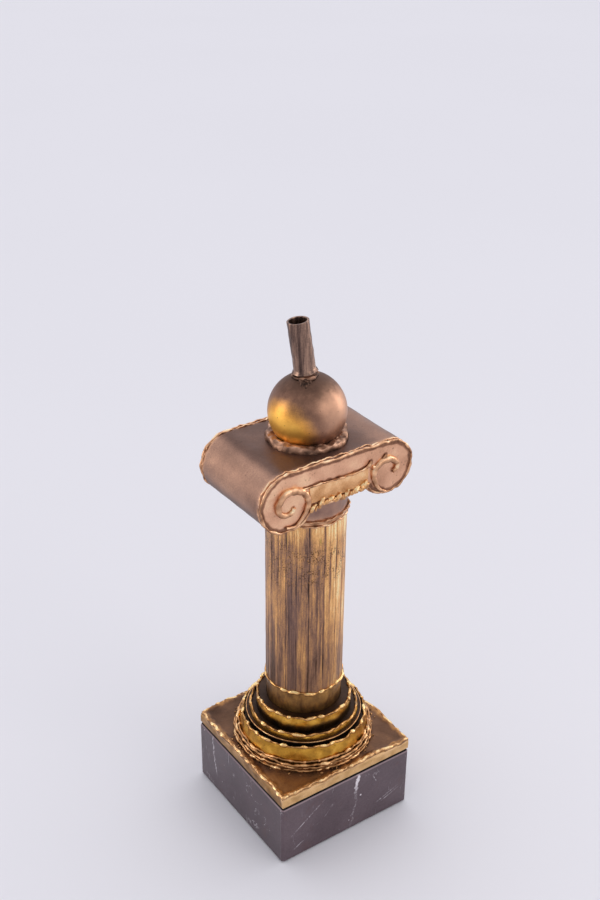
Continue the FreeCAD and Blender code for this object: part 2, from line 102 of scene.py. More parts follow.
class Wire:
    # one socket of a material's node tree, with arithmetic

    def __init__(self, tree, socket):
        self.tree = tree
        self.socket = socket

    def node(self, kind, settings=None, inputs=None, out=0):
        made = self.tree.nodes.new(kind)
        for name, value in (settings or {}).items():
            if name == "stops":
                ramp = made.color_ramp.elements
                while len(ramp) < len(value):
                    ramp.new(0.5)
                for element, (place, color) in zip(ramp, value):
                    element.position = place
                    element.color = (*color, 1)
            else:
                setattr(made, name, value)
        for name, value in (inputs or {}).items():
            if isinstance(value, Wire):
                self.tree.links.new(value.socket, made.inputs[name])
            else:
                made.inputs[name].default_value = value
        return Wire(self.tree, made.outputs[out])

    def math(self, operation, first, second=0.0, clamp=False):
        settings = {"operation": operation, "use_clamp": clamp}
        return self.node("ShaderNodeMath", settings, {0: first, 1: second})

    def __add__(self, other):
        return self.math("ADD", self, other)

    def __radd__(self, other):
        return self.math("ADD", other, self)

    def __sub__(self, other):
        return self.math("SUBTRACT", self, other)

    def __rsub__(self, other):
        return self.math("SUBTRACT", other, self)

    def __mul__(self, other):
        return self.math("MULTIPLY", self, other)

    def __rmul__(self, other):
        return self.math("MULTIPLY", other, self)

    def __abs__(self):
        return self.math("ABSOLUTE", self)

    def clamp(self):
        return self.math("ADD", self, 0.0, True)

    def step(self, low, high):
        # 0 below low, 1 above high, smooth between
        return self.node("ShaderNodeMapRange", {"interpolation_type": "SMOOTHSTEP"},
                         {"Value": self, "From Min": low, "From Max": high})

    def tones(self, gain, *tones):
        # screen colours spread evenly from 0 to 1
        stops = [(i / (len(tones) - 1), paint(*tone, gain)) for i, tone in enumerate(tones)]
        return self.node("ShaderNodeValToRGB", {"stops": stops}, {0: self})

    def mix(self, first, second):
        # this value blends from the first colour to the second
        if isinstance(second, tuple):
            second = (*second, 1)
        return self.node("ShaderNodeMix", {"data_type": "RGBA"}, {0: self, 6: first, 7: second}, 2)


class Finish:
    # a new material, with the noises that every finish here is made of

    def __init__(self, name):
        self.material = bpy.data.materials.new(name)
        self.material.use_nodes = True
        self.tree = self.material.node_tree
        self.shader = next(n for n in self.tree.nodes if n.type == "BSDF_PRINCIPLED")
        self.start = Wire(self.tree, None)
        place = self.start.node("ShaderNodeTexCoord", out=3)
        self.place = self.placed(place, scale=(1 / mm, 1 / mm, 1 / mm))

    def placed(self, where, scale=(1, 1, 1), shift=(0, 0, 0), turn=(0, 0, 0)):
        return self.start.node("ShaderNodeMapping", {}, {
            "Vector": where, "Scale": scale, "Location": shift, "Rotation": turn})

    def stretched(self, scale, shift=(0, 0, 0), turn=(0, 0, 0)):
        return self.placed(self.place, scale, shift, turn)

    def cloud(self, size, detail=3.0, roughness=0.55, where=None, warp=0.0):
        # noise from 0 to 1 whose lumps are about this many mm across
        return self.start.node("ShaderNodeTexNoise", {}, {
            "Vector": where or self.place, "Scale": 1 / size, "Detail": detail, "Roughness": roughness,
            "Distortion": warp})

    def cells(self, size, where=None):
        return self.start.node("ShaderNodeTexVoronoi", {}, {"Vector": where or self.place, "Scale": 1 / size})

    def painted(self, name):
        return self.start.node("ShaderNodeAttribute", {"attribute_name": name}, out=2)

    def axis(self, letter):
        parts = self.tree.nodes.new("ShaderNodeSeparateXYZ")
        self.tree.links.new(self.place.socket, parts.inputs[0])
        return Wire(self.tree, parts.outputs["XYZ".index(letter)])

    def toward(self, origin, way):
        # how far along a direction a point lies from an origin
        away = self.start.node("ShaderNodeVectorMath", {"operation": "SUBTRACT"},
                               {0: self.place, 1: tuple(origin)})
        return self.start.node("ShaderNodeVectorMath", {"operation": "DOT_PRODUCT"},
                               {0: away, 1: tuple(way)}, 1)

    def bumps(self, height, depth, under=None):
        # height from 0 to 1 stands for this many mm
        inputs = {"Height": height, "Distance": depth * mm, "Strength": 1.0}
        if under:
            inputs["Normal"] = under
        return self.start.node("ShaderNodeBump", {}, inputs)

    def finish(self, **sockets):
        for name, value in sockets.items():
            socket = self.shader.inputs[name.replace("_", " ")]
            if isinstance(value, Wire):
                self.tree.links.new(value.socket, socket)
            else:
                socket.default_value = value
        return self.material


# the brightness attribute is 0 in a dark hollow and 1 where the brass is rubbed bright, and on some pieces it
# also holds painted highlights and painted shade; sizes and depths are in mm
brassLook = {"blotch": 16, "blotchGain": 0.5, "grain": 0.9, "grainGain": 0.3, "rubGain": 0.75, "base": 0.15,
             "specks": 0.5, "speckSize": 2.6, "dent": 7, "dentDepth": 0.22, "grainDepth": 0.04,
             "roughness": 0.44, "polish": 0.1, "metal": 0.92, "gain": 1.25}
melted = {"blotch": 5, "grain": 0.6, "dent": 2, "dentDepth": 0.12}


def brass(name, *tones, **changes):
    # brown patina over brass, in tones from its darkest to its brightest
    look = brassLook | changes
    made = Finish(name)
    broad = made.cloud(look["blotch"], 4, 0.6, warp=0.4)
    fine = made.cloud(look["grain"], 5, 0.7)
    wornAndLit = (made.painted("rub") * look["rubGain"] + (broad - 0.5) * look["blotchGain"]
            + (fine - 0.5) * look["grainGain"] + look["base"]).clamp()
    color = wornAndLit.tones(look["gain"], *tones)
    specks = made.cells(look["grain"] * look["speckSize"]).step(0.34, 0.16) * made.cloud(7.0).step(0.5, 0.72)
    color = (specks * look["specks"]).mix(color, paint(*tones[0], look["gain"]))
    soft = made.bumps(made.cloud(look["dent"], 2), look["dentDepth"])
    normal = made.bumps(fine, look["grainDepth"], soft)
    gloss = (look["roughness"] + (fine - 0.5) * 0.3 - wornAndLit * look["polish"]).clamp()
    return made.finish(Base_Color=color, Metallic=look["metal"], Roughness=gloss, Normal=normal)


def only(piece):
    if bpy.context.object and bpy.context.object.mode != "OBJECT":
        bpy.ops.object.mode_set(mode="OBJECT")
    bpy.ops.object.select_all(action="DESELECT")
    piece.select_set(True)
    bpy.context.view_layer.objects.active = piece


def emptyHands():
    bpy.ops.object.select_all(action="DESELECT")


def fresh(name):
    # the primitive that was just added, with its place moved into its mesh
    piece = bpy.context.object
    piece.name = name
    piece.data.name = name
    only(piece)
    bpy.ops.object.transform_apply(location=True, rotation=True, scale=True)
    return piece


def block(name, low, high):
    emptyHands()
    size = Vector(high) - Vector(low)
    bpy.ops.mesh.primitive_cube_add(size=1, location=(Vector(low) + Vector(high)) / 2 * mm, scale=size * mm)
    return fresh(name)


def lump(name, place, size, detail=3, scale=(1, 1, 1), turn=(0, 0, 0)):
    emptyHands()
    bpy.ops.mesh.primitive_ico_sphere_add(subdivisions=detail, radius=size * mm, location=Vector(place) * mm,
                                          scale=scale, rotation=turn)
    return fresh(name)


def modify(piece, kind, **settings):
    only(piece)
    made = piece.modifiers.new(kind.title(), kind)
    for name, value in settings.items():
        setattr(made, name, value)
    bpy.ops.object.modifier_apply(modifier=made.name)
    return piece


def divide(piece, *cuts):
    only(piece)
    bpy.ops.object.mode_set(mode="EDIT")
    for count in cuts:
        bpy.ops.mesh.select_all(action="SELECT")
        bpy.ops.mesh.subdivide(number_cuts=count)
    bpy.ops.object.mode_set(mode="OBJECT")
    return piece


def crossCut(piece, bottom, top, count):
    # level cuts across a wall, so that it can be bent
    only(piece)
    bpy.ops.object.mode_set(mode="EDIT")
    for i in range(1, count):
        bpy.ops.mesh.select_all(action="SELECT")
        bpy.ops.mesh.bisect(plane_co=(0, 0, between(bottom, top, i / count) * mm), plane_no=up)
    bpy.ops.object.mode_set(mode="OBJECT")
    return piece


def sculpt(piece, move, rub=None):
    # moves each point, in mm, and notes how bright its brass is there, from rubbing and on some pieces from
    # painted light and shade
    mesh = piece.data
    wornAndLit = mesh.attributes.get("rub") or mesh.attributes.new("rub", "FLOAT", "POINT")
    for i, vertex in enumerate(mesh.vertices):
        point = vertex.co / mm
        if rub:
            wornAndLit.data[i].value = max(0.0, min(1.0, rub(point)))
        vertex.co = move(point) * mm
    mesh.update()
    return piece


def smooth(piece, degrees=50):
    only(piece)
    bpy.ops.object.shade_smooth_by_angle(angle=math.radians(degrees))
    return piece


def outward(piece):
    only(piece)
    bpy.ops.object.mode_set(mode="EDIT")
    bpy.ops.mesh.select_all(action="SELECT")
    bpy.ops.mesh.remove_doubles(threshold=0.01 * mm)
    bpy.ops.mesh.normals_make_consistent(inside=False)
    bpy.ops.object.mode_set(mode="OBJECT")
    return piece


def join(name, pieces):
    emptyHands()
    for piece in pieces:
        piece.select_set(True)
    bpy.context.view_layer.objects.active = pieces[0]
    bpy.ops.object.join()
    joined = bpy.context.object
    joined.name = name
    joined.data.name = name
    return smooth(joined, 80)


def done(piece, material, node):
    # gives a finished piece its material and its place in the frame
    piece.data.materials.clear()
    piece.data.materials.append(material)
    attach(piece, "root")
    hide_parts(node)
    return piece


def tube(name, radius, bottom, top, wall, topRadius=None, cuts=12, sides=240):
    # an open wall of revolution with a real thickness, ready to be sculpted
    emptyHands()
    bpy.ops.mesh.primitive_cone_add(vertices=sides, radius1=radius * mm, radius2=(topRadius or radius) * mm,
                                    depth=(top - bottom) * mm, end_fill_type="NOTHING",
                                    location=(0, 0, (top + bottom) / 2 * mm))
    return modify(crossCut(fresh(name), bottom, top, cuts), "SOLIDIFY", thickness=wall * mm, offset=-1)


def ringPath(radius, height, pitch=0.45):
    count = int(math.tau * radius / pitch)
    turns = [math.tau * i / count for i in range(count)]
    return [Vector((radius * math.cos(turn), radius * math.sin(turn), height)) for turn in turns]


def straight(start, end, pitch=0.45):
    # from one point up to the next, without its end
    steps = int((end - start).length / pitch)
    return [start.lerp(end, i / steps) for i in range(steps)]


def smoothPath(knots, pitch=0.4):
    # a curve through every knot, in steps of about one pitch
    knots = [Vector(knot) for knot in knots]
    path = []
    for i in range(len(knots) - 1):
        before, start, end, after = (knots[max(0, min(len(knots) - 1, i + j))] for j in (-1, 0, 1, 2))
        steps = max(2, int((end - start).length / pitch))
        for t in (k / steps for k in range(steps)):
            bend = 2 * before - 5 * start + 4 * end - after
            twist = 3 * start - before - 3 * end + after
            path.append(0.5 * (2 * start + (end - before) * t + bend * t ** 2 + twist * t ** 3))
    return path + [knots[-1]]


# a run of filler metal wanders off its line and swells into drops, which are brighter than the thin parts;
# its thickness is its radius, and the last four say how bright it is and how far its drops hang
beadLook = {"thickness": 0.6, "wave": 0.6, "waveSize": 7, "fineSize": 2.8, "fineShare": 0.55, "swell": 0.3,
            "swellSize": 2.6, "drops": 0.65, "dropLength": 5.2, "dropGap": 7.5, "lumps": 0.2, "lumpSize": 2.4,
            "thinnest": 0.15, "seed": 1, "even": 0.36, "crown": 0.3, "ripe": 0.4, "hang": 0.25}


def dropSizes(path, closed, look):
    # at each point, how far the run swells there into a drop, from 0 to 1
    luck = random.Random(look["seed"])
    reach = [0.0]
    for start, end in zip(path, path[1:] + path[:1]):
        reach.append(reach[-1] + (end - start).length)
    total = reach.pop()
    sizes = [0.0] * len(path)
    place = 0.0
    while place < total - (look["dropGap"] / 2 if closed else 0):
        half = look["dropLength"] / 2 * luck.uniform(0.4, 1.6)
        size = luck.uniform(0.15, 1.0)
        for i, far in enumerate(reach):
            gap = abs(far - place)
            if closed:
                gap = min(gap, total - gap)
            if gap < half:
                sizes[i] = max(sizes[i], size * math.sqrt(1 - (gap / half) ** 2))
        place += look["dropGap"] * luck.uniform(0.3, 1.7)
    return sizes


def bead(name, path, closed=False, along=None, **changes):
    look = beadLook | changes
    seed, thick = look["seed"], look["thickness"]
    sizes = dropSizes(path, closed, look)
    emptyHands()
    curve = bpy.data.curves.new(name, "CURVE")
    curve.dimensions = "3D"
    curve.bevel_depth = mm
    curve.bevel_resolution = 4
    curve.use_fill_caps = not closed
    line = curve.splines.new("POLY")
    line.points.add(len(path) - 1)
    line.use_cyclic_u = closed
    tree = kdtree.KDTree(len(path))
    for i, (point, drop) in enumerate(zip(path, sizes)):
        swell = uneven(point, (look["swell"], look["swellSize"], seed + 1))
        width = thick * (1 + swell + look["drops"] * drop)
        if along:
            width *= along(i / (len(path) - 1))
        place = point + drift(point, look["waveSize"], look["wave"], seed)
        place += drift(point, look["fineSize"], look["wave"] * look["fineShare"], seed + 3)
        place -= up * look["hang"] * drop * thick
        line.points[i].co = (*(place * mm), 1)
        line.points[i].radius = max(look["thinnest"], width)
        tree.insert(place, i)
    tree.balance()
    piece = bpy.data.objects.new(name, curve)
    bpy.context.scene.collection.objects.link(piece)
    only(piece)
    bpy.ops.object.convert(target="MESH")
    piece = bpy.context.object
    if not closed:
        outward(piece)

    def pushed(point):
        return point + drift(point, look["lumpSize"], look["lumps"], seed + 4)

    def wornAndLit(point):
        place, i = tree.find(point)[:2]
        # the top of the run is brighter and its underside darker: partly rubbed brass and patina, partly
        # painted light from above and painted shade beneath
        over = (point.z - place.z) / thick
        return (look["even"] + look["ripe"] * (sizes[i] - 0.3) + look["crown"] * over
                + 0.3 * grain(point, look["swellSize"], seed + 5))

    return smooth(sculpt(piece, pushed, wornAndLit), 80)


def filler(name, node, material, path, closed=True, along=None, **changes):
    # a run of filler metal that stands for a CAD node by itself
    return done(bead(name, path, closed, along, **changes), material, node)


# the stone block: polished plum-black, with one bright vein and a few slanting scratches down the front face;
# a scratch is its middle across and up, its slope, half its height and its width, in mm
stone = {"low": corners("marble_block")[0], "high": corners("marble_block")[1],
         "tones": [(62, 49, 54), (84, 68, 74), (106, 90, 96)], "veinTone": (226, 218, 222),
         "edgeTone": (150, 126, 132), "frontVein": 6.5, "leftVein": 31, "fleck": (11, 25.6, 0.75),
         "scratches": [(-31, 27.8, 1.43, 10, 0.5), (33, 15, 2.8, 3.5, 0.55), (35.5, 13.6, 2.7, 3.2, 0.4),
                       (-38, 9, 1.9, 2.5, 0.45), (22, 34, -0.5, 4, 0.4)]}


def marble():
    made = Finish("marble")
    half, top = stone["high"].x, stone["high"].z
    broad = made.cloud(30, 4, 0.6)
    fine = made.cloud(1.1, 6, 0.75)
    # painted light: the whole front face is painted a little lighter than the others
    front = made.axis("Y").step(-half + 3, -half + 1.5)
    tone = (0.42 + (broad - 0.5) * 0.9 + (fine - 0.5) * 0.8 + front * 0.2).clamp()
    color = tone.tones(1.0, *stone["tones"])
    stain = made.cloud(13, 4, 0.6, made.stretched((1, 1, 1), (33, 8, 2))).step(0.55, 0.75)
    color = (stain * 0.4).mix(color, paint(92, 62, 60))
    flow = made.cloud(26, 5, 0.62, made.stretched((1, 1, 0.5), (12, 4, 31)), 0.8)
    thread = abs(flow - 0.5).step(0.006, 0.0) * made.cloud(11, 3).step(0.55, 0.66)
    scratch = made.cloud(1.3, 3, 0.6, made.stretched((1, 1, 0.07), (7, 2, 9), (0.75, 0.75, 0)))
    patch = made.cloud(15, 2, 0.5, made.stretched((1, 1, 1), (41, 3, 12))).step(0.5, 0.62)
    scratch = scratch.step(0.66, 0.74) * patch
    flecks = made.cells(7.5).step(0.09, 0.04) * made.cloud(16, 2).step(0.5, 0.6)
    dust = made.cells(2.2).step(0.09, 0.03) * made.cloud(10, 3).step(0.55, 0.68)
    white = (thread * 0.55 + scratch * 0.4 + flecks * 0.75 + dust * 0.4 + bigVeins(made, half)).clamp()
    color = white.mix(color, paint(*stone["veinTone"]))
    across, deep, level = abs(made.axis("X")), abs(made.axis("Y")), made.axis("Z")
    # painted highlight: the top chamfer, and a little the upright corners, are painted lighter
    edge = (across + deep).step(2 * half - 1.9, 2 * half - 1.2) * 0.1 + level.step(top - 1.7, top - 1.3)
    color = (edge.clamp() * 0.75).mix(color, paint(*stone["edgeTone"]))
    # painted shadow: the block's top under the tray, down to the chamfer's upper part, is painted nearly
    # black
    inside = level.step(top - 0.9, top - 0.75)
    color = inside.mix(color, (0.002, 0.0015, 0.0015))
    gloss = (0.22 + (fine - 0.5) * 0.1 + white * 0.15 + inside * 0.7).clamp()
    normal = made.bumps(fine, 0.02)
    return made.finish(Base_Color=color, Roughness=gloss, Normal=normal, Specular_IOR_Level=0.4)


def bigVeins(made, half):
    # one down the front face, and a wavy one near the left face's back edge
    along = made.axis("Z")
    middle = (stone["low"].z + stone["high"].z) / 2
    crook = (made.cloud(9, 4, 0.6, made.stretched((0.05, 0.05, 1), (5, 1, 2))) - 0.5) * 12
    thick = made.cloud(4, 3, 0.6, made.stretched((0.2, 0.2, 1))).step(0.3, 0.75)
    lean = (along - middle) * 0.16

    def line(letter, place, width):
        return (abs(made.axis(letter) - place - crook - lean) - thick * width).step(0.45, 0.0)

    broken = made.cloud(1.6, 4, 0.7).step(0.42, 0.62)
    front = line("X", stone["frontVein"], 0.9) * (0.25 + along.step(20, 36) * 0.2) * broken
    front = front + line("X", stone["frontVein"], 1.7) * along.step(27, 39)
    for x, z, slope, reach, width in stone["scratches"]:
        height = along - z
        off = abs(made.axis("X") - x - height * slope + (crook * 0.12))
        off = off.step(width * (1 + abs(slope)), 0.0) * abs(height).step(reach, reach * 0.5)
        front = front + off * broken * 0.6
    x, z, size = stone["fleck"]
    front = front + abs(made.axis("X") - x).step(size, size * 0.6) * abs(along - z).step(size, size * 0.6)
    onFront, onLeft = (made.axis(letter).step(-half + 3, -half + 1.5) for letter in "YX")
    left = line("Y", stone["leftVein"], 0.5) * onLeft * along.step(12, 20)
    return front * onFront + left * 0.7


def felt():
    made = Finish("felt")
    fibres = made.cloud(0.35, 4, 0.8)
    color = fibres.step(0.3, 0.75).mix((0.012, 0.012, 0.013, 1), (0.045, 0.043, 0.045))
    return made.finish(Base_Color=color, Roughness=0.95, Normal=made.bumps(fibres, 0.25))


def zincSteel():
    made = Finish("zincSteel")
    fine = made.cloud(1.1, 4, 0.6)
    color = fine.step(0.3, 0.7).mix((0.42, 0.42, 0.44, 1), (0.62, 0.62, 0.63))
    return made.finish(Base_Color=color, Metallic=1.0, Roughness=(0.3 + fine * 0.15).clamp(),
                       Normal=made.bumps(fine, 0.02))


def footBrass():
    # the pipe's bare foot: golden brown, with painted shade low down where the band closes round it
    made = Finish("footBrass")
    low = corners("column_pipe")[0].z
    fine = made.cloud(0.8, 5, 0.7)
    smear = made.cloud(7, 4, 0.6, made.stretched((1, 1, 0.6)), 0.5)
    tone = (0.48 + (smear - 0.5) * 1.3 + (fine - 0.5) * 0.4).clamp()
    color = tone.tones(1.15, (52, 37, 24), (104, 74, 44), (152, 112, 62), (206, 162, 100))
    # painted shade on the lowest few mm, where the band meets the pipe
    deep = made.axis("Z").step(low + 7, low + 1)
    color = (deep * 0.85).mix(color, paint(34, 25, 18))
    return made.finish(Base_Color=color, Metallic=0.9, Roughness=(0.4 + (fine - 0.5) * 0.25).clamp(),
                       Normal=made.bumps(fine, 0.05))


def carriedOver():
    # the pieces that the looks take over from CAD as they are
    inner = brass("innerBrass", (30, 22, 18), (62, 46, 36), (98, 74, 54), (140, 110, 76), blotchGain=0.6,
                  base=0.26)
    under = brass("underBrass", (50, 38, 32), (98, 76, 66), (130, 104, 88), (170, 136, 106), blotchGain=0.6,
                  base=0.3)
    steel = zincSteel()
    finishes = {"marble_block": marble(), "felt_pad": felt(), "column_pipe": footBrass(),
                "soffit_sheet": under}
    finishes |= {node: steel for node in ("fixing_stud", "fixing_washer", "fixing_nut")}
    finishes |= {node: inner for node in ("tray_boss", "lower_floor", "middle_floor", "upper_floor",
                                          "band_flange")}
    for node, material in finishes.items():
        piece = frame["nodes"][node]
        if not piece.material_slots:
            piece.data.materials.append(material)
        for spot in piece.material_slots:
            spot.material = material


carriedOver()
print("stone block, felt and inner pieces have their finishes")


# the tray: a sheet with a melted, scalloped edge over four strips
tray = {"low": corners("tray_sheet")[0], "high": corners("tray_sheet")[1], "cuts": (9, 9),
        "stripCuts": (6, 9), "edge": (1.3, 8.5, 21), "fineEdge": (0.585, 3.4, 23), "edgeLift": 0.7,
        "edgeReach": 6, "lipWidth": 3.4, "lipSlope": 1.2, "lipRise": 0.75, "lipRag": (0.9, 3.2, 7),
        "lipLumps": (0.6, 2.4, 8), "sag": (0.35, 30, 4), "dents": (0.08, 5, 6), "patches": (0.15, 9, 13),
        "stripWave": 0.8, "stripDents": (0.1, 5, 31), "stripPatches": (0.3, 5, 9),
        "bare": {"front": 0.74, "right": 0.74, "back": 0.16, "left": 0.16}, "rimInset": 0.5}
trayBrass = brass("trayBrass", (56, 38, 28), (100, 72, 54), (150, 108, 66), (208, 158, 98), blotchGain=0.6,
                  rubGain=0.7, base=0.1, roughness=0.45, grainGain=0.4)
stripBrass = brass("stripBrass", (84, 60, 38), (144, 108, 68), (194, 154, 102), (226, 186, 134), blotch=9,
                   blotchGain=0.6, base=0.2, roughness=0.4)
lipBrass = brass("lipBrass", (68, 46, 30), (134, 98, 64), (198, 152, 104), (246, 210, 158), roughness=0.34,
                 base=0.1, **melted)


def trayWave(point):
    # how far the torch-cut edge wanders, faded out away from the edge
    half = tray["high"].x
    far = max(abs(point.x), abs(point.y))
    off = wander(point, tray["edge"]) + wander(point, tray["fineEdge"])
    off.z *= tray["edgeLift"]
    return off * rise(far, half - tray["edgeReach"], half)


def makeTray():
    half, top, bottom = tray["high"].x, tray["high"].z, tray["low"].z
    sheet = divide(block("traySheet", (-half, -half, bottom), (half, half, top)), *tray["cuts"])
    lip = half - tray["lipWidth"]

    def lipHeight(point):
        far = max(abs(point.x), abs(point.y)) + uneven(point, tray["lipRag"])
        return rise(far, lip, lip + tray["lipSlope"]) * (0.75 + uneven(point, tray["lipLumps"]))

    def move(point):
        if point.z > bottom + 0.1:
            lift = uneven(point, tray["sag"]) + uneven(point, tray["dents"])
            point = point + up * (lift + tray["lipRise"] * lipHeight(point))
        return point + trayWave(point)

    def rub(point):
        # brighter towards the front corner, and less so towards the right one
        corner = rise(point.x * -0.55 - point.y, 18, 70) + 0.35 * rise(point.x - point.y, 20, 80)
        return 0.12 + 0.55 * lipHeight(point) + 0.5 * corner + uneven(point, tray["patches"])

    done(smooth(sculpt(sheet, move, rub), 35), trayBrass, "tray_sheet")

    for side in ("front", "back", "left", "right"):
        low, high = corners(f"side_strip_{side}")
        strip = divide(block("strip" + side.title(), low, high), *tray["stripCuts"])

        def stripMove(point):
            wave = trayWave(point) * rise(point.z, low.z + 1, high.z) * tray["stripWave"]
            return point + wave + wander(point, tray["stripDents"])

        def stripRub(point):
            upper = rise(point.z, high.z - 2.5, high.z)
            # painted light: the front and right strips are painted brighter than the back and left ones
            return tray["bare"][side] + 0.3 * upper + uneven(point, tray["stripPatches"])

        done(smooth(sculpt(strip, stripMove, stripRub), 35), stripBrass, f"side_strip_{side}")

    inset = half - tray["rimInset"]
    knots = [Vector((x * inset, y * inset, top)) for x, y in ((-1, -1), (1, -1), (1, 1), (-1, 1))]
    path = [point for start, end in zip(knots, knots[1:] + knots[:1]) for point in straight(start, end)]
    path = [point + trayWave(point) - up * 0.1 for point in path]
    filler("trayRim", "tray_edge_bead", lipBrass, path, thickness=0.75, wave=0.35, waveSize=4, dropLength=6.5,
           dropGap=6.5, seed=5)


makeTray()
print("tray is done")


# the stepped bands round the column's foot, each with a rim of drops; goldFrom is the share of its height at
# which its wall turns bright
bands = [
    {"name": "lower", "wave": 1.0, "seed": 2, "goldFrom": 0.12, "dark": 0.0, "gold": 0.72},
    {"name": "middle", "wave": 0.9, "seed": 6, "goldFrom": 0.35, "dark": 0.0, "gold": 0.8},
    {"name": "upper", "wave": 0.9, "seed": 12, "goldFrom": 0.4, "dark": 0.05, "gold": 0.75},
]
bandWork = {"wall": 1.5, "waveSize": 7, "fineSize": 3, "fineShare": 0.3, "dents": (0.25, 7),
            "lumps": (0.5, 2.8), "lumpReach": 3.5, "patches": (0.12, 6), "specks": (0.2, 4, 3),
            "innerShare": 0.15, "rimInset": 0.6}
bandBrass = brass("bandBrass", (38, 27, 17), (100, 70, 30), (178, 130, 48), (234, 182, 84), blotch=8,
                  blotchGain=0.6, base=0.05, rubGain=0.85, roughness=0.38)
rimBrass = brass("rimBrass", (60, 38, 24), (136, 96, 56), (210, 160, 98), (252, 216, 158), roughness=0.28,
                 base=0.08, **melted)


def makeBand(band):
    low, high = corners(band["name"] + "_band")
    bottom, top, foot, seed = low.z, high.z, high.x, band["seed"]
    radius = foot if band["name"] != "lower" else corners("lower_rim_bead")[1].x
    wall = tube(band["name"] + "Band", foot, bottom, top, bandWork["wall"], radius)

    def edge(point):
        fine = band["wave"] * bandWork["fineShare"]
        return (drift(point, bandWork["waveSize"], band["wave"], seed)
                + drift(point, bandWork["fineSize"], fine, seed + 1))

    def move(point):
        over = rise(point.z, bottom + 1, top) ** 2
        dents = wander(point, (*bandWork["dents"], seed + 4)) * rise(point.z, bottom, bottom + 2)
        lump = max(0.0, uneven(point, (*bandWork["lumps"], seed + 6)))
        return point + edge(point) * over + dents + sideways(point) * lump * rise(
            point.z, top - bandWork["lumpReach"], top)

    def rub(point):
        # painted shade and patina: the wall stays dark below goldFrom, where it rises from the ledge below,
        # and its inner face is dimmed as painted shade
        share = (point.z - bottom) / (top - bottom)
        middle = between(foot, radius, share) - bandWork["wall"] / 2
        bright = share + uneven(point, (*bandWork["patches"], seed + 7))
        bright = rise(bright, band["goldFrom"] - 0.1, band["goldFrom"] + 0.35) * band["gold"]
        inner = math.hypot(point.x, point.y) < middle - 0.05
        bright *= bandWork["innerShare"] if inner else 1.0
        return bright + band["dark"] + uneven(point, bandWork["specks"])

    done(smooth(sculpt(wall, move, rub)), bandBrass, band["name"] + "_band")
    path = [point + edge(point) for point in ringPath(radius - bandWork["rimInset"], top)]
    filler(band["name"] + "Rim", band["name"] + "_rim_bead", rimBrass, path, thickness=0.62, wave=0.4,
           waveSize=5, drops=1.35, dropLength=5, dropGap=8.5, ripe=0.5, seed=seed)


for band in bands:
    makeBand(band)


# the skirt of coppery filler round the lowest band, its threads, and the spatter on the tray; a thread is its
# radius, its height over the tray and its thickness
skirt = {"wall": 2.2, "slope": 0.6, "threads": [(44.8, 0.9, 0.75), (44.5, 3.0, 0.5), (43.8, 4.7, 0.85)],
         "folds": (6, 41), "foldDepth": 0.4, "wave": (0.45, 7, 42), "patches": (0.5, 3.0, 43), "spots": 90,
         "spread": 3.6, "spotSize": (0.35, 0.95), "spotLumps": (0.5, 1.3, 40), "spotPatches": (0.5, 2, 8),
         "ridgeInset": 0.8}
copper = brass("copper", (58, 40, 26), (126, 90, 56), (186, 138, 92), (242, 198, 148), roughness=0.36,
               base=0.1, **melted)


def makeSkirt():
    low, high = corners("foot_ring")
    ring = tube("footRing", high.x, low.z, high.z, skirt["wall"], high.x - skirt["slope"], cuts=8)

    def move(point):
        fold = abs(grain(Vector((point.x, point.y, point.z * 2)), *skirt["folds"]))
        return point + sideways(point) * skirt["foldDepth"] * (0.4 - fold * 2) + wander(point, skirt["wave"])

    sculpt(ring, move, lambda point: 0.3 + uneven(point, skirt["patches"]))
    done(smooth(ring, 70), copper, "foot_ring")
    threads = [bead(f"footThread{i}", ringPath(radius, low.z + height), True, thickness=thick, wave=1.0,
                    waveSize=11, drops=0.8, dropGap=11, seed=31 + i, even=0.42)
               for i, (radius, height, thick) in enumerate(skirt["threads"])]
    luck = random.Random(5)
    for i in range(skirt["spots"]):
        turn = luck.uniform(0, math.tau)
        reach = high.x + skirt["spread"] * luck.random() ** 2.2
        spot = lump(f"spatter{i}", (reach * math.cos(turn), reach * math.sin(turn), low.z + 0.1),
                    luck.uniform(*skirt["spotSize"]), 2, (1, 1, 0.7))
        threads.append(sculpt(spot, lambda point: point + wander(point, skirt["spotLumps"]),
                              lambda point: 0.4 + uneven(point, skirt["spotPatches"])))
    done(join("footThreads", threads), copper, "foot_ring_bead")
    low, high = corners("band_step_bead")
    path = ringPath(high.x - skirt["ridgeInset"], between(low.z, high.z, 0.5))
    filler("stepBead", "band_step_bead", copper, path, wave=1.0, waveSize=9, drops=1.3, dropGap=9, ripe=0.5,
           seed=37)
    # the thin wire on the flange's edge stands for no CAD piece of its own
    flange = corners("band_flange")[1]
    wire = bead("wireRing", ringPath(flange.x - 0.1, flange.z), True, thickness=0.27, wave=0.12, waveSize=20,
                swell=0.1, drops=0.0, lumps=0.03, seed=39, even=0.6)
    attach(wire, "root")
    wire.data.materials.append(copper)


makeSkirt()
print("stepped bands are done")


# the column's jacket: uneven flutes, gold and purplish streaks, a mottled belt under the capital and a dark
# stripe down its front left; belt holds the heights at which the mottling starts, is full, fades and ends
jacketLow, jacketHigh = corners("fluted_jacket")
column = {"bottom": jacketLow.z, "top": jacketHigh.z, "radius": jacketHigh.x, "sides": 720, "cuts": 42,
          "wall": 0.55, "wave": 1.2, "waveReach": 6, "flutes": 34, "fluteDepth": 0.36,
          "sway": (0.02, 30, 3), "fade": (0.8, 20, 6), "dents": (0.14, 10, 8),
          "belt": (172, 186, 204, 212), "goldTop": 4, "dullFrom": 165, "brightWay": (0.018, -0.012, 0),
          "shadeWay": (0.816, -0.577, 0), "shadeAt": -6.6, "shadeWidth": (5.5, 1.5),
          "shadeEnds": (208, 188)}


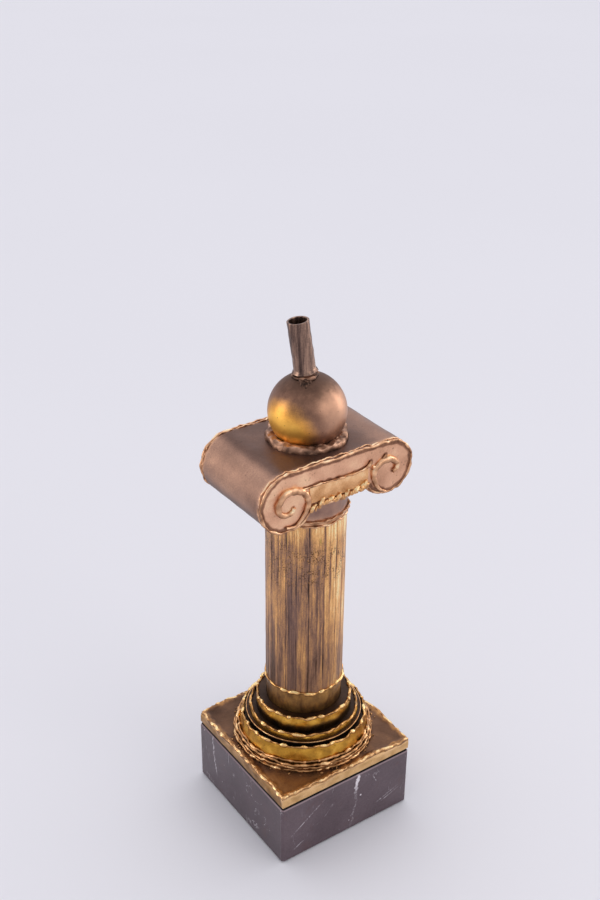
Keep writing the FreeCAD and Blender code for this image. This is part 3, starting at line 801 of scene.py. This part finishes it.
def streakedBrass():
    made = Finish("streakedBrass")
    groove = made.painted("groove")
    sway = made.cloud(9, 3, 0.6, made.stretched((1, 1, 0.25), (3, 8, 1)))
    streak = made.cloud(1.5, 4, 0.65, made.stretched((1, 1, 0.045)), 0.15)
    wide = made.cloud(6, 3, 0.55, made.stretched((1, 1, 0.06), (40, 10, 5)), 0.4)
    fine = made.cloud(0.5, 6, 0.85)
    hatch = made.cloud(0.7, 4, 0.7, made.stretched((1, 1, 0.16), (5, 9, 2)))
    along = made.axis("Z")
    start, full, fading, end = column["belt"]
    high = along.step(fading, column["top"] - column["goldTop"])
    low = along.step(column["dullFrom"], column["bottom"])
    # painted light: the column's right side is painted brighter
    bright = made.toward((0, 0, 0), column["brightWay"]).step(-0.1, 0.55)
    shade = made.toward((0, 0, 0), column["shadeWay"]) - column["shadeAt"] + (sway - 0.5) * 6
    shade = abs(shade).step(*column["shadeWidth"]) * along.step(*column["shadeEnds"])
    tone = (0.56 - shade * 0.16 - low * 0.16 + (streak - 0.5) * 1.0 + (wide - 0.5) * 1.15 + (sway - 0.5) * 0.6
            + (fine - 0.5) * 0.9 + (hatch - 0.5) * 0.5 + bright * 0.15 - groove * 0.45 + high * 0.17).clamp()
    color = tone.tones(1.2, (54, 40, 35), (98, 75, 66), (138, 105, 86), (184, 137, 92), (225, 173, 112),
                       (254, 217, 166))
    color = (shade * 0.4).mix(color, paint(116, 94, 92))
    color = (low * 0.25).mix(color, paint(118, 80, 40))
    belt = along.step(start, full) * along.step(end, fading)
    speckle = made.cells(1.1).step(0.55, 0.25) * made.cloud(5, 3).step(0.42, 0.6) * (0.2 + belt * 0.7)
    color = speckle.mix(color, paint(84, 58, 38))
    rust = made.cells(1.7, made.stretched((1, 1, 0.7), (4, 4, 4))).step(0.34, 0.12) * belt
    color = (rust * 0.5).mix(color, paint(204, 150, 92))
    green = made.cloud(3.0, 2, 0.5, made.stretched((1, 1, 0.15), (9, 2, 0))).step(0.64, 0.74)
    color = (green * along.step(185, 214) * 0.55).mix(color, paint(150, 140, 48))
    normal = made.bumps(fine, 0.05, made.bumps(streak, 0.1))
    gloss = (0.42 + (fine - 0.5) * 0.35 + groove * 0.12).clamp()
    return made.finish(Base_Color=color, Metallic=0.9, Roughness=gloss, Normal=normal)


def fluteLines():
    # uneven places round the column, in radians, each with a width in mm and a share of the depth
    lines = []
    for i in range(column["flutes"]):
        turn = math.tau * (i + 0.36 * math.sin(i * 5.7) + 0.2 * math.sin(i * 11.3 + 1)) / column["flutes"]
        lines.append((turn, 0.4 + 0.45 * abs(math.sin(i * 3.3)), 0.35 + 0.65 * abs(math.sin(i * 7.9 + 2))))
    return lines


def jacketWave(point):
    return column["wave"] * (grain(point, 9, 61) + 0.5 * grain(point, 4, 63))


def makeColumn():
    bottom, top, radius, reach = column["bottom"], column["top"], column["radius"], column["waveReach"]
    emptyHands()
    bpy.ops.mesh.primitive_cylinder_add(
        vertices=column["sides"], radius=radius * mm, depth=(top - bottom) * mm, end_fill_type="NOTHING",
        location=(0, 0, (top + bottom) / 2 * mm))
    jacket = crossCut(fresh("flutedJacket"), bottom, top, column["cuts"])
    lines = fluteLines()
    mesh = jacket.data
    groove = mesh.attributes.new("groove", "FLOAT", "POINT")
    for i, vertex in enumerate(mesh.vertices):
        point = vertex.co / mm
        turn = math.atan2(point.y, point.x)
        turn += uneven(Vector((turn * 3, 0, point.z)), column["sway"])
        depth = 0.0
        for place, width, share in lines:
            gap = abs((turn - place + math.pi) % math.tau - math.pi) * radius
            if gap < width:
                fade = 0.7 + uneven(Vector((place * 40, 0, point.z)), column["fade"])
                depth = max(depth, share * fade * (1 - (gap / width) ** 2))
        groove.data[i].value = max(0.0, min(1.0, depth))
        ends = rise(bottom + reach - point.z, 0, reach) + rise(point.z, top - reach, top)
        dents = uneven(point, column["dents"])
        point += sideways(point) * (dents - column["fluteDepth"] * depth) + up * ends * jacketWave(point)
        vertex.co = point * mm
    mesh.update()
    modify(jacket, "SOLIDIFY", thickness=column["wall"] * mm, offset=-1)
    done(smooth(jacket), streakedBrass(), "fluted_jacket")
    edge = [point + up * jacketWave(point) for point in ringPath(radius + 0.1, bottom)]
    filler("jacketEdge", "jacket_foot_bead", rimBrass, edge, thickness=0.62, wave=0.4, waveSize=5, drops=1.4,
           dropLength=5.5, dropGap=7, seed=51)


# the wavy bead, which has two rows, and the drum between the jacket and the capital
neck = {"bead": corners("neck_bead"), "drum": corners("neck_drum"), "rowInset": 0.7, "stripInset": 0.8,
        "stripWall": 1.6, "stripDents": (0.35, 5, 74), "stripPatches": (0.4, 3, 75), "drumWall": 0.7,
        "drumDents": (0.2, 9, 76), "drumPatches": (0.25, 6, 77)}
drumBrass = brass("drumBrass", (70, 50, 44), (122, 94, 84), (160, 126, 108), (214, 166, 132), blotch=12,
                  base=0.38, roughness=0.45)
roseBrass = brass("roseBrass", (78, 52, 38), (156, 114, 84), (212, 166, 128), (250, 216, 178), roughness=0.38,
                  base=0.16, **melted)


def makeNeck():
    low, high = neck["bead"]
    rows = [bead(name, ringPath(high.x - neck["rowInset"], height), True, thickness=0.5, wave=0.9,
                 waveSize=size, seed=seed)
            for name, height, size, seed in (("neckLow", low.z + 0.1, 6, 71),
                                             ("neckHigh", high.z + 0.7, 5, 73))]
    strip = tube("neckStrip", high.x - neck["stripInset"], low.z, high.z + 1.0, neck["stripWall"], cuts=4)
    rows.append(sculpt(strip, lambda point: point + wander(point, neck["stripDents"]),
                       lambda point: 0.35 + uneven(point, neck["stripPatches"])))
    done(join("neckBead", rows), roseBrass, "neck_bead")
    low, high = neck["drum"]
    drum = tube("neckDrum", high.x, low.z, high.z, neck["drumWall"])
    sculpt(drum, lambda point: point + wander(point, neck["drumDents"]),
           lambda point: 0.15 + 0.5 * rise(point.z, low.z + 5, low.z) + uneven(point, neck["drumPatches"]))
    done(smooth(drum), drumBrass, "neck_drum")


makeColumn()
makeNeck()
print("column is done")


# the rolled Ionic capital, whose left roll is a little larger than its right
coverHigh = corners("rolled_cover")[1]
capital = {"top": coverHigh.z, "reach": coverHigh.x, "front": corners("front_plate")[0].y,
           "soffit": corners("soffit_sheet")[0].z, "left": 18.9, "right": 17.3, "sides": 180, "plate": 1.4,
           "coverInset": 1.2, "plateInset": 0.3, "coverVoxel": 0.8, "plateVoxel": 0.5,
           "edge": (0.6, 8, 81), "fineEdge": (0.3, 3, 83), "sag": (0.5, 26, 85), "dents": (0.15, 9, 86),
           "coverPatches": (0.35, 16, 87), "buckle": (0.3, 10, 91), "platePatches": (0.3, 12, 92),
           "creaseInset": 1.6, "creaseWidth": 1.8, "creaseRag": (0.6, 3, 94)}
# a rim's name, how far in from the outline it lies, how far behind the face, its wave and its thickness
plateRims = [("Face", 0.4, 0, 0.45, 0.62), ("Cover", 0.1, 1.9, 0.8, 0.45)]
coverBrass = brass("coverBrass", (62, 44, 37), (100, 76, 66), (148, 115, 97), (208, 165, 134), blotch=24,
                   base=0.22, roughness=0.48, polish=0.06, grainGain=0.5)
plateBrass = brass("plateBrass", (94, 62, 46), (164, 120, 94), (204, 158, 128), (238, 194, 156), blotch=12,
                   rubGain=0.8, base=0.12, grainGain=0.45)
friezeBrass = brass("friezeBrass", (108, 72, 44), (182, 132, 86), (220, 172, 124), (248, 212, 166), blotch=7,
                    blotchGain=0.7, rubGain=0.7, base=0.08, roughness=0.4, gain=1.2, grainGain=0.5)
leafBrass = brass("leafBrass", (66, 42, 28), (146, 104, 66), (210, 160, 108), (252, 214, 164), roughness=0.36,
                  base=0.1, **melted)


def rolledBlock(name, inset, front, back, voxel):
    # two rolls and the slab between them, melted into one solid
    top, soffit = capital["top"] - inset, capital["soffit"] + inset
    pieces, slab = [], []
    for side, way in (("left", -1), ("right", 1)):
        radius = capital[side]
        x = way * (capital["reach"] - radius)
        emptyHands()
        bpy.ops.mesh.primitive_cylinder_add(
            vertices=capital["sides"], radius=(radius - inset) * mm, depth=(back - front) * mm,
            rotation=(math.pi / 2, 0, 0),
            location=(x * mm, (front + back) / 2 * mm, (capital["top"] - radius) * mm))
        pieces.append(fresh(name + side.title()))
        slab.append(x)
    pieces.append(block(name, (slab[0], front, soffit), (slab[1], back, top)))
    piece = join(name, pieces)
    modify(piece, "REMESH", mode="VOXEL", voxel_size=voxel * mm)
    return modify(piece, "SMOOTH", factor=0.5, iterations=4)


def capitalOutline(inset, pitch=0.45):
    # the end view as a closed line, from the left roll's foot over the top and back along the soffit
    top, soffit = capital["top"], capital["soffit"] + inset
    sides = []
    for side, way in (("left", -1), ("right", 1)):
        radius = capital[side]
        x, z, reach = way * (capital["reach"] - radius), top - radius, radius - inset
        meet = math.asin((z - soffit) / reach)
        begin, finish = (-meet, -3 * math.pi / 2) if way < 0 else (math.pi / 2, -math.pi + meet)
        steps = int(abs(finish - begin) * reach / pitch)
        turns = [between(begin, finish, i / steps) for i in range(steps + 1)]
        sides.append([Vector((x + reach * math.cos(turn), 0, z + reach * math.sin(turn))) for turn in turns])
    path = []
    for start, end in (sides, sides[::-1]):
        path += start + straight(start[-1], end[0], pitch)[1:]
    return path


def plateWave(point):
    return wander(point, capital["edge"]) + wander(point, capital["fineEdge"])


def makeCover():
    back = -capital["front"] - capital["coverInset"]
    cover = rolledBlock("rolledCover", 0, -back, back, capital["coverVoxel"])

    def move(point):
        ends = rise(abs(point.y), back - 4, back)
        off = wander(point, capital["sag"]) + wander(point, capital["dents"]) + plateWave(point) * ends * 0.6
        return point + Vector((off.x, off.y * 0.2, off.z))

    def rub(point):
        # worn at its ends, with a painted sheen on the left roll's crown, and brighter towards the right
        top = capital["top"]
        ends = rise(abs(point.y), back - 3.5, back)
        crown = rise(-point.x, 38, 45) * rise(point.z, top - 30, top - 20)
        far = rise(point.x, 12, 40) * rise(point.z, top - 4, top - 1)
        return 0.05 + 0.35 * ends + 0.6 * crown * (0.8 + uneven(point, capital["coverPatches"])) + 0.4 * far

    done(smooth(sculpt(cover, move, rub)), coverBrass, "rolled_cover")


# places on the front plate, seen from the front, in mm across and up; the back plate has them mirrored
scrollWork = {
    "left": [(-36.0, 235.4), (-30.3, 234.6), (-26.0, 237.7), (-22.3, 243.0), (-21.2, 248.0), (-23.5, 254.0),
             (-29.8, 257.6), (-37.0, 257.2), (-41.3, 252.4), (-40.6, 246.6), (-36.8, 243.8), (-32.4, 244.4),
             (-31.1, 247.0)],
    "right": [(34.1, 237.0), (29.0, 240.5), (26.0, 245.6), (24.9, 251.1), (27.0, 255.4), (31.8, 258.2),
              (37.2, 257.6), (41.3, 254.4), (41.6, 250.6), (39.2, 249.2)],
    "tail": [(29.0, 256.4), (31.2, 259.0), (33.6, 261.6)],
    "knot": [(23.5, 256.2), (27.5, 255.8), (30.0, 257.2)],
    "line": [(-24.0, 257.2), (-14, 257.2), (-4, 256.6), (6, 256.1), (14, 256.6), (20.5, 258.0),
             (23.0, 260.2)],
    "leaves": [(-18.4, 242.8, 1.2), (-12.4, 244.6, 1.45), (-6.4, 244.8, 1.3), (-0.6, 244.4, 1.35),
               (5.0, 244.8, 1.3), (11.0, 245.2, 1.5), (17.4, 246.2, 1.6)],
    "stand": 0.7, "ribbon": 1.6, "pressed": 0.85,
}


def onFace(sign, knots, stand=None):
    # a smooth line drawn on one end plate
    y = sign * (-capital["front"] + (scrollWork["stand"] if stand is None else stand))
    return smoothPath([(-sign * x, y, z) for x, z in knots])


def makePlate(sign, side):
    face = sign * -capital["front"]
    inner = face - sign * capital["plate"]
    plate = rolledBlock(side + "Plate", capital["plateInset"], min(face, inner), max(face, inner),
                        capital["plateVoxel"])
    crease = [point + Vector((0, face, 0)) for point in capitalOutline(capital["creaseInset"])]
    for name in ("left", "right", "line", "tail"):
        crease += onFace(sign, scrollWork[name], 0)
    tree = kdtree.KDTree(len(crease))
    for i, point in enumerate(crease):
        tree.insert(point, i)
    tree.balance()

    def move(point):
        return point + plateWave(point) * 0.7 + Vector((0, uneven(point, capital["buckle"]), 0))

    def rub(point):
        # painted shade in the creases beside the rim and the scrolls, which stand proud of the plate, and
        # painted light towards the left of its face
        near = tree.find(point)[2]
        left = rise(sign * point.x, 12, 40)
        deep = rise(capital["creaseWidth"] + uneven(point, capital["creaseRag"]) - near, 0, 1.0)
        return 0.6 + uneven(point, capital["platePatches"]) + 0.22 * left - 0.85 * deep

    done(smooth(sculpt(plate, move, rub)), plateBrass, side + "_plate")
    rims = []
    for name, inset, behind, wave, thick in plateRims:
        path = [point + Vector((0, face - sign * behind, 0)) for point in capitalOutline(inset)]
        path = [point + plateWave(point) * 0.8 for point in path]
        rims.append(bead(side + "Rim" + name, path, True, thickness=thick, wave=wave, waveSize=5, swell=0.2,
                         drops=0.5, dropLength=7, dropGap=11, lumps=0.15, lumpSize=3.2,
                         seed=93 + sign + 4 * len(rims)))
    done(join(side + "Rim", rims), roseBrass, side + "_edge_bead")


def flattened(piece, sign, share):
    # presses a ribbon towards its plate
    face = sign * -capital["front"]
    return sculpt(piece, lambda point: Vector((point.x, face + (point.y - face) * share, point.z)))


def makeVolutes(sign, side):
    # ribbons set on edge: thin at the foot, wide over the top and curled in at the end
    def swellAlong(share):
        return 0.5 + 0.8 * rise(share, 0.05, 0.45) - 0.5 * rise(share, 0.72, 1.0)

    for hand in ("left", "right"):
        name = side + "Volute" + hand.title()
        seed = 101 + sign + (5 if hand == "left" else 9)
        ribbon = bead(name, onFace(sign, scrollWork[hand]), False, swellAlong, thickness=scrollWork["ribbon"],
                      wave=0.4, waveSize=5, swell=0.15, drops=0.1, lumps=0.25, lumpSize=3.6, seed=seed,
                      even=0.5, hang=0)
        if hand == "right":
            twigs = [bead(name + part.title(), onFace(sign, scrollWork[part]), thickness=0.95, wave=0.2,
                          drops=0.5, seed=seed + i) for i, part in enumerate(("tail", "knot"), start=2)]
            ribbon = join(name, [ribbon, *twigs])
        cadHand = hand if sign < 0 else {"left": "right", "right": "left"}[hand]
        ribbon = smooth(flattened(ribbon, sign, scrollWork["pressed"]), 80)
        done(ribbon, roseBrass, f"{side}_scroll_{cadHand}")


# a leaf under the frieze is a large drop and a small one beside it, each with its place along and its share
frieze = {"stand": 0.35, "half": 0.45, "margin": 1, "cuts": (9, 5), "wave": 0.8, "dents": (0.2, 4, 111),
          "patches": (0.35, 6, 112), "drops": ((0, 1.0), (2.7, 0.5)), "dropSize": 1.35, "dropStand": 0.6,
          "dropPatches": (0.35, 2, 116)}


def makeFrieze(sign, side):
    low, high = corners(side + "_frieze")
    y, half, margin = sign * (-capital["front"] + frieze["stand"]), frieze["half"], frieze["margin"]
    panel = block(side + "Frieze", (low.x - margin, y - half, low.z), (high.x + margin, y + half, high.z))
    divide(panel, *frieze["cuts"])
    sculpt(panel, lambda point: point + plateWave(point) * frieze["wave"] + wander(point, frieze["dents"]),
           lambda point: 0.5 + uneven(point, frieze["patches"]) + 0.3 * rise(point.z, low.z + 2, high.z - 1))
    done(smooth(panel), friezeBrass, side + "_frieze")
    filler(side + "FriezeLine", side + "_frieze_line", roseBrass, onFace(sign, scrollWork["line"]), False,
           lambda share: 0.75 + 0.9 * rise(share, 0.86, 0.97), thickness=0.55, wave=0.4, waveSize=5,
           seed=113 + sign)
    leaves = []
    for i, (x, z, size) in enumerate(scrollWork["leaves"]):
        for j, (off, share) in enumerate(frieze["drops"]):
            tilt = sign * (0.75 + 0.35 * math.sin(i * 2.1 + j))
            place = (-sign * (x + off), y + sign * frieze["dropStand"], z - 0.5 * off * share)
            leaf = lump(f"{side}Leaf{i}{'ab'[j]}", place, size * frieze["dropSize"], 4,
                        (1.8 * share + 0.2, 0.6 * share + 0.2, 0.72 * share + 0.1), (0, tilt, 0))

            def rub(point):
                return 0.55 + 0.35 * rise(point.z, z - 1, z + 1) + uneven(point, frieze["dropPatches"])

            leaves.append(sculpt(leaf, lambda point: point + drift(point, 1.9, 0.7, 115 + i), rub))
    core = onFace(sign, [(x, z) for x, z, size in scrollWork["leaves"]], 0.4)
    leaves.append(bead(side + "LeafStem", core, thickness=0.5, wave=0.4, seed=117 + sign, even=0.1, ripe=0.2))
    done(join(side + "Leaves", leaves), leafBrass, side + "_bead_row")


makeCover()
for sign, side in ((-1, "front"), (1, "back")):
    makePlate(sign, side)
    makeVolutes(sign, side)
    makeFrieze(sign, side)
print("capital is done")


# the ball, with its gold patch low on the left and a pale painted highlight on its right; turn is the
# camera's, and both ways are as the eye sees them
ballLow, ballHigh = corners("ball")
ball = {"radius": (ballHigh.z - ballLow.z) / 2, "middle": (ballLow + ballHigh) / 2, "turn": -34.9,
        "goldWay": (-0.64, -0.71, -0.30), "paleWay": (0.82, -0.42, 0.36), "pits": (0.9, 2.1, 121),
        "pitFrom": 0.54, "dents": (0.07, 10, 122)}


def ballBrass():
    made = Finish("ballBrass")
    radius, middle = ball["radius"], ball["middle"]
    turn = Euler((0, 0, math.radians(ball["turn"]))).to_matrix()
    fine = made.cloud(0.6, 5, 0.75)
    broad = made.cloud(13, 3, 0.55)
    gold = made.toward(middle, turn @ Vector(ball["goldWay"]).normalized() / radius)
    gold = (gold + (broad - 0.5) * 0.3 + (fine - 0.5) * 0.2).step(0.5, 0.98)
    # a painted highlight: a pale pinkish patch on the ball's right
    pale = made.toward(middle, turn @ Vector(ball["paleWay"]).normalized() / radius)
    pale = (pale + (made.cloud(9, 3) - 0.5) * 0.3).step(0.6, 1.05)
    base = (0.42 + (broad - 0.5) * 0.9 + (fine - 0.5) * 0.8).clamp()
    color = base.tones(1.2, (78, 56, 48), (132, 98, 80), (182, 140, 114))
    color = (pale * 0.6).mix(color, paint(220, 172, 140, 1.15))
    color = (gold * 0.95).mix(color, paint(236, 166, 66, 1.25))
    # a painted highlight in the middle of the gold patch
    color = (gold.step(0.6, 1.0) * 0.4).mix(color, paint(255, 190, 96, 1.3))
    scorch = made.axis("Z") + (made.cloud(4, 4) - 0.5) * 9
    scorch = scorch.step(middle.z + radius - 12, middle.z + radius - 2)
    color = (scorch * 0.7).mix(color, paint(72, 54, 46))
    # painted shade low on the ball, where it sits down in the collar
    foot = made.axis("Z").step(middle.z - radius + 9, middle.z - radius + 5.5)
    color = (foot * 0.85).mix(color, paint(58, 40, 32))
    pits = made.cells(2.9).step(0.12, 0.05) * made.cloud(8).step(0.4, 0.6)
    color = (pits * 0.85).mix(color, paint(62, 42, 28))
    normal = made.bumps(fine, 0.05, made.bumps(1 - pits, 0.12, made.bumps(made.cloud(2.4, 3), 0.06)))
    gloss = (0.42 + (fine - 0.5) * 0.3 + scorch * 0.15).clamp()
    return made.finish(Base_Color=color, Metallic=0.93, Roughness=gloss, Normal=normal)


def makeBall():
    radius, middle = ball["radius"], ball["middle"]
    shell = lump("ballShell", middle, radius, 6)

    def move(point):
        pit = max(0.0, uneven(point, ball["pits"]) - ball["pitFrom"])
        return point + (point - middle).normalized() * (uneven(point, ball["dents"]) - pit)

    done(smooth(sculpt(shell, move)), ballBrass(), "ball")


# the collar that the ball sits in: a ring of filler pressed into large creased folds
collarLow, collarHigh = corners("ball_collar")
collar = {"reach": collarHigh.x, "base": collarLow.z + 0.3, "thick": 3.3, "around": 480, "across": 48,
          "flat": 0.6, "foldSize": 10, "creaseSize": 5, "much": (0.7, 15, 137), "rough": (0.42, 2.0, 135),
          "patches": (0.45, 2.6, 136), "facets": 0.22}
collarBrass = brass("collarBrass", (44, 30, 23), (98, 72, 58), (150, 114, 92), (214, 172, 142), blotch=7,
                    grain=0.7, dent=2.5, dentDepth=0.2, roughness=0.55, base=0.04, rubGain=0.9, metal=0.8)


def makeCollar():
    thick, base = collar["thick"], collar["base"]
    emptyHands()
    bpy.ops.mesh.primitive_torus_add(major_segments=collar["around"], minor_segments=collar["across"],
                                     major_radius=(collar["reach"] - thick) * mm, minor_radius=thick * mm,
                                     location=(0, 0, base * mm))
    ring = fresh("ballCollar")

    def fold(point):
        # 1 on a ridge, falling to about -1 in a crease
        return 1 - 2.6 * abs(grain(Vector((point.x, point.y, point.z * 2)), collar["foldSize"], 131))

    def crumple(point):
        flat = Vector((point.x, point.y, base + (point.z - base) * collar["flat"]))
        high = rise(flat.z, base, base + 1.2)
        crease = 1 - 3 * abs(grain(point, collar["creaseSize"], 133))
        much = 0.75 + uneven(point, collar["much"])
        out = 0.9 * fold(point) * much + 0.35 * crease - 0.6
        lift = high * (0.7 + 1.6 * fold(point) * much + 0.5 * crease)
        return flat + sideways(point) * out + up * lift + wander(point, collar["rough"])

    def wornAndLit(point):
        # painted highlights on the ridges and along the top, painted shade in the creases, and uneven patches
        return (0.24 + 0.45 * fold(point) + uneven(point, collar["patches"])
                + 0.15 * rise(point.z, base, base + 2))

    sculpt(ring, crumple, wornAndLit)
    modify(ring, "DECIMATE", ratio=collar["facets"])
    done(smooth(ring, 28), collarBrass, "ball_collar")


# the leaning post: an open tube above, closed by a plug where it meets the ball, with a weld round its foot
post = {"mount": next(m for m in frame["record"]["mounts"] if m["name"] == "figure_socket"), "wall": 1.45,
        "sink": 0.6, "lip": 1.1, "lipAt": 2.4, "lipWidth": 0.8, "dents": (0.25, 5, 141), "sides": 128,
        "cuts": 46, "patchWay": (-0.62, -0.78, 0), "patches": 9, "patchFrom": 7.4, "patchStep": 0.75,
        "patchLumps": (0.5, 1.3, 145), "patchPatches": (0.4, 1.5, 146)}


def postBrass():
    made = Finish("postBrass")
    streak = made.cloud(2.6, 3, 0.6, made.stretched((1, 1, 0.06)))
    fine = made.cloud(0.6, 5, 0.75)
    tone = (0.44 + (streak - 0.5) * 1.5 + (fine - 0.5) * 0.6).clamp()
    color = tone.tones(1.2, (42, 32, 30), (96, 76, 68), (154, 124, 106), (224, 188, 152))
    normal = made.bumps(fine, 0.04, made.bumps(streak, 0.05))
    return made.finish(Base_Color=color, Metallic=0.9, Roughness=(0.26 + fine * 0.2).clamp(), Normal=normal)


def makePost():
    axis = Vector(post["mount"]["axis"]).normalized()
    bore, depth = post["mount"]["dims"]["r_mm"], post["mount"]["dims"]["length_mm"]
    mouth = Vector(post["mount"]["pos_m"]) / mm + axis * depth / 2
    centre, radius = ball["middle"], ball["radius"]
    foot = (mouth - centre).dot(axis) - radius + post["sink"]     # the post's length below its mouth
    toPlace = Matrix.Translation(mouth) @ axis.to_track_quat("Z", "Y").to_matrix().to_4x4()
    outside = bore + post["wall"]
    emptyHands()
    bpy.ops.mesh.primitive_cylinder_add(vertices=post["sides"], radius=outside * mm, depth=foot * mm,
                                        location=(0, 0, -foot / 2 * mm))
    piece = fresh("figurePost")
    bpy.ops.object.mode_set(mode="EDIT")
    bpy.ops.mesh.select_all(action="DESELECT")
    bpy.ops.mesh.select_mode(type="FACE")
    bpy.ops.object.mode_set(mode="OBJECT")
    for face in piece.data.polygons:
        face.select = face.normal.z > 0.9
    bpy.ops.object.mode_set(mode="EDIT")
    bpy.ops.mesh.inset(thickness=post["wall"] * mm)
    bpy.ops.mesh.extrude_region_move(TRANSFORM_OT_translate={"value": (0, 0, -depth * mm)})
    bpy.ops.object.mode_set(mode="OBJECT")
    modify(piece, "BEVEL", width=0.3 * mm, segments=3, angle_limit=math.radians(50))
    crossCut(piece, -foot, 0, post["cuts"])

    def shape(point):
        if math.hypot(point.x, point.y) > bore + 0.4:
            lip = post["lip"] * math.exp(-((point.z + foot - post["lipAt"]) / post["lipWidth"]) ** 2)
            out = uneven(point, post["dents"]) + lip * (1 + 0.4 * grain(point, 3, 142)) - post["dents"][0]
            point = point + sideways(point) * out
        return toPlace @ point

    done(smooth(outward(sculpt(piece, shape))), postBrass(), "figure_socket")

    across = axis.orthogonal().normalized()
    other = axis.cross(across)
    ground = mouth - axis * (foot - post["sink"])

    def onBall(point, lift):
        return centre + (point - centre).normalized() * (radius + lift)

    around = [ground + (across * math.cos(turn) + other * math.sin(turn)) * (outside + 0.5)
              for turn in (math.tau * i / 96 for i in range(96))]
    weld = [bead("postWeld", [onBall(point, 0.4) for point in around], True, thickness=0.85, wave=0.4,
                 waveSize=4, drops=0.7, seed=143, even=0.15, ripe=0.3)]
    toward = Vector(post["patchWay"]).normalized()
    for i in range(post["patches"]):
        aside = toward.cross(up) * (2.8 - 0.15 * i) * math.sin(i * 2.3)
        spot = ground + toward * (post["patchFrom"] + post["patchStep"] * i) + aside
        patch = lump(f"weldSpot{i}", onBall(spot, -0.6), 2.0 - 0.1 * i)
        weld.append(sculpt(patch, lambda point: point + wander(point, post["patchLumps"]),
                           lambda point: 0.15 + uneven(point, post["patchPatches"])))
    done(join("postWeld", weld), collarBrass, "socket_bead_ring")


makeBall()
makeCollar()
makePost()
print("ball and post are done")


# a plain pale floor that runs to the horizon, a sky that is brighter behind the plinth, two soft lights that
# show only as gloss on its sides, and one in front; a light is its name, place, size, power, color and
# whether it also lights dull surfaces
studio = {"floor": (0.78, 0.775, 0.80), "sky": (0.98, 0.975, 1.035), "bright": 1.24, "dim": 0.6,
          "horizon": (229, 228, 237), "floorSize": 300, "away": (0.577, 0.816, 0.25), "target": (0, 0, 0.17),
          "lights": [("keyLeft", (-1.35, 0.6, 0.55), (0.6, 0.8), 6, (1.0, 0.96, 0.9), False),
                     ("fillRight", (1.4, -0.35, 0.5), (0.6, 0.9), 4.5, (1.0, 0.94, 0.88), False),
                     ("front", (0.5, -1.3, 0.9), (0.8, 0.8), 2.4, (1.0, 0.96, 0.93), True)],
          "eye": (-0.37019, -0.52368, 0.60642), "swing": -34.9, "drop": 28.368, "roll": 0.608, "lens": 50,
          "film": 36}


def makeFloor():
    emptyHands()
    bpy.ops.mesh.primitive_grid_add(size=studio["floorSize"], x_subdivisions=4, y_subdivisions=4,
                                    location=(0, 0, -0.1 * mm))
    floor = fresh("studioFloor")
    made = Finish("studioFloor")
    warm = tuple(tone * 1.01 for tone in studio["floor"])
    color = made.cloud(400, 2, 0.4).step(0.2, 0.8).mix((*studio["floor"], 1), warm)
    floor.data.materials.append(made.finish(Base_Color=color, Roughness=0.85))


def makeSky():
    world = bpy.data.worlds.new("studio")
    bpy.context.scene.world = world
    world.use_nodes = True
    tree = world.node_tree
    start = Wire(tree, None)
    way = start.node("ShaderNodeTexCoord", out=0)
    away = start.node("ShaderNodeVectorMath", {"operation": "DOT_PRODUCT"}, {
        0: way, 1: tuple(Vector(studio["away"]).normalized())}, 1)
    dim, bright = (tuple(tone * studio[level] for tone in studio["sky"]) for level in ("dim", "bright"))
    parts = tree.nodes.new("ShaderNodeSeparateXYZ")
    tree.links.new(way.socket, parts.inputs[0])
    high = Wire(tree, parts.outputs[2]).step(0.1, 0.45)
    color = high.mix((*paint(*studio["horizon"]), 1), away.step(-0.6, 0.7).mix((*dim, 1), bright))
    tree.links.new(color.socket, tree.nodes["Background"].inputs["Color"])


def softBox(name, place, size, power, color, lightsDull):
    light = bpy.data.lights.new(name, "AREA")
    light.shape = "RECTANGLE"
    light.size, light.size_y = size
    light.energy = power
    light.color = color
    lamp = bpy.data.objects.new(name, light)
    bpy.context.scene.collection.objects.link(lamp)
    lamp.location = place
    lamp.visible_diffuse = lightsDull
    lamp.rotation_euler = (Vector(studio["target"]) - Vector(place)).to_track_quat("-Z", "Y").to_euler()


def makeCamera():
    # the eye stands high off the front left corner, with a slight roll
    lens = bpy.data.cameras.new("studioCamera")
    lens.lens, lens.sensor_width = studio["lens"], studio["film"]
    eye = bpy.data.objects.new("studioCamera", lens)
    bpy.context.scene.collection.objects.link(eye)
    swing, drop, roll = (math.radians(studio[turn]) for turn in ("swing", "drop", "roll"))
    turn = Euler((math.pi / 2 - drop, 0, swing)).to_matrix().to_4x4() @ Matrix.Rotation(roll, 4, "Z")
    eye.matrix_world = Matrix.Translation(studio["eye"]) @ turn
    bpy.context.scene.camera = eye


makeFloor()
makeSky()
for light in studio["lights"]:
    softBox(*light)
makeCamera()
view = bpy.context.scene.view_settings
view.view_transform = "Standard"
view.look = "None"
print("studio is set")
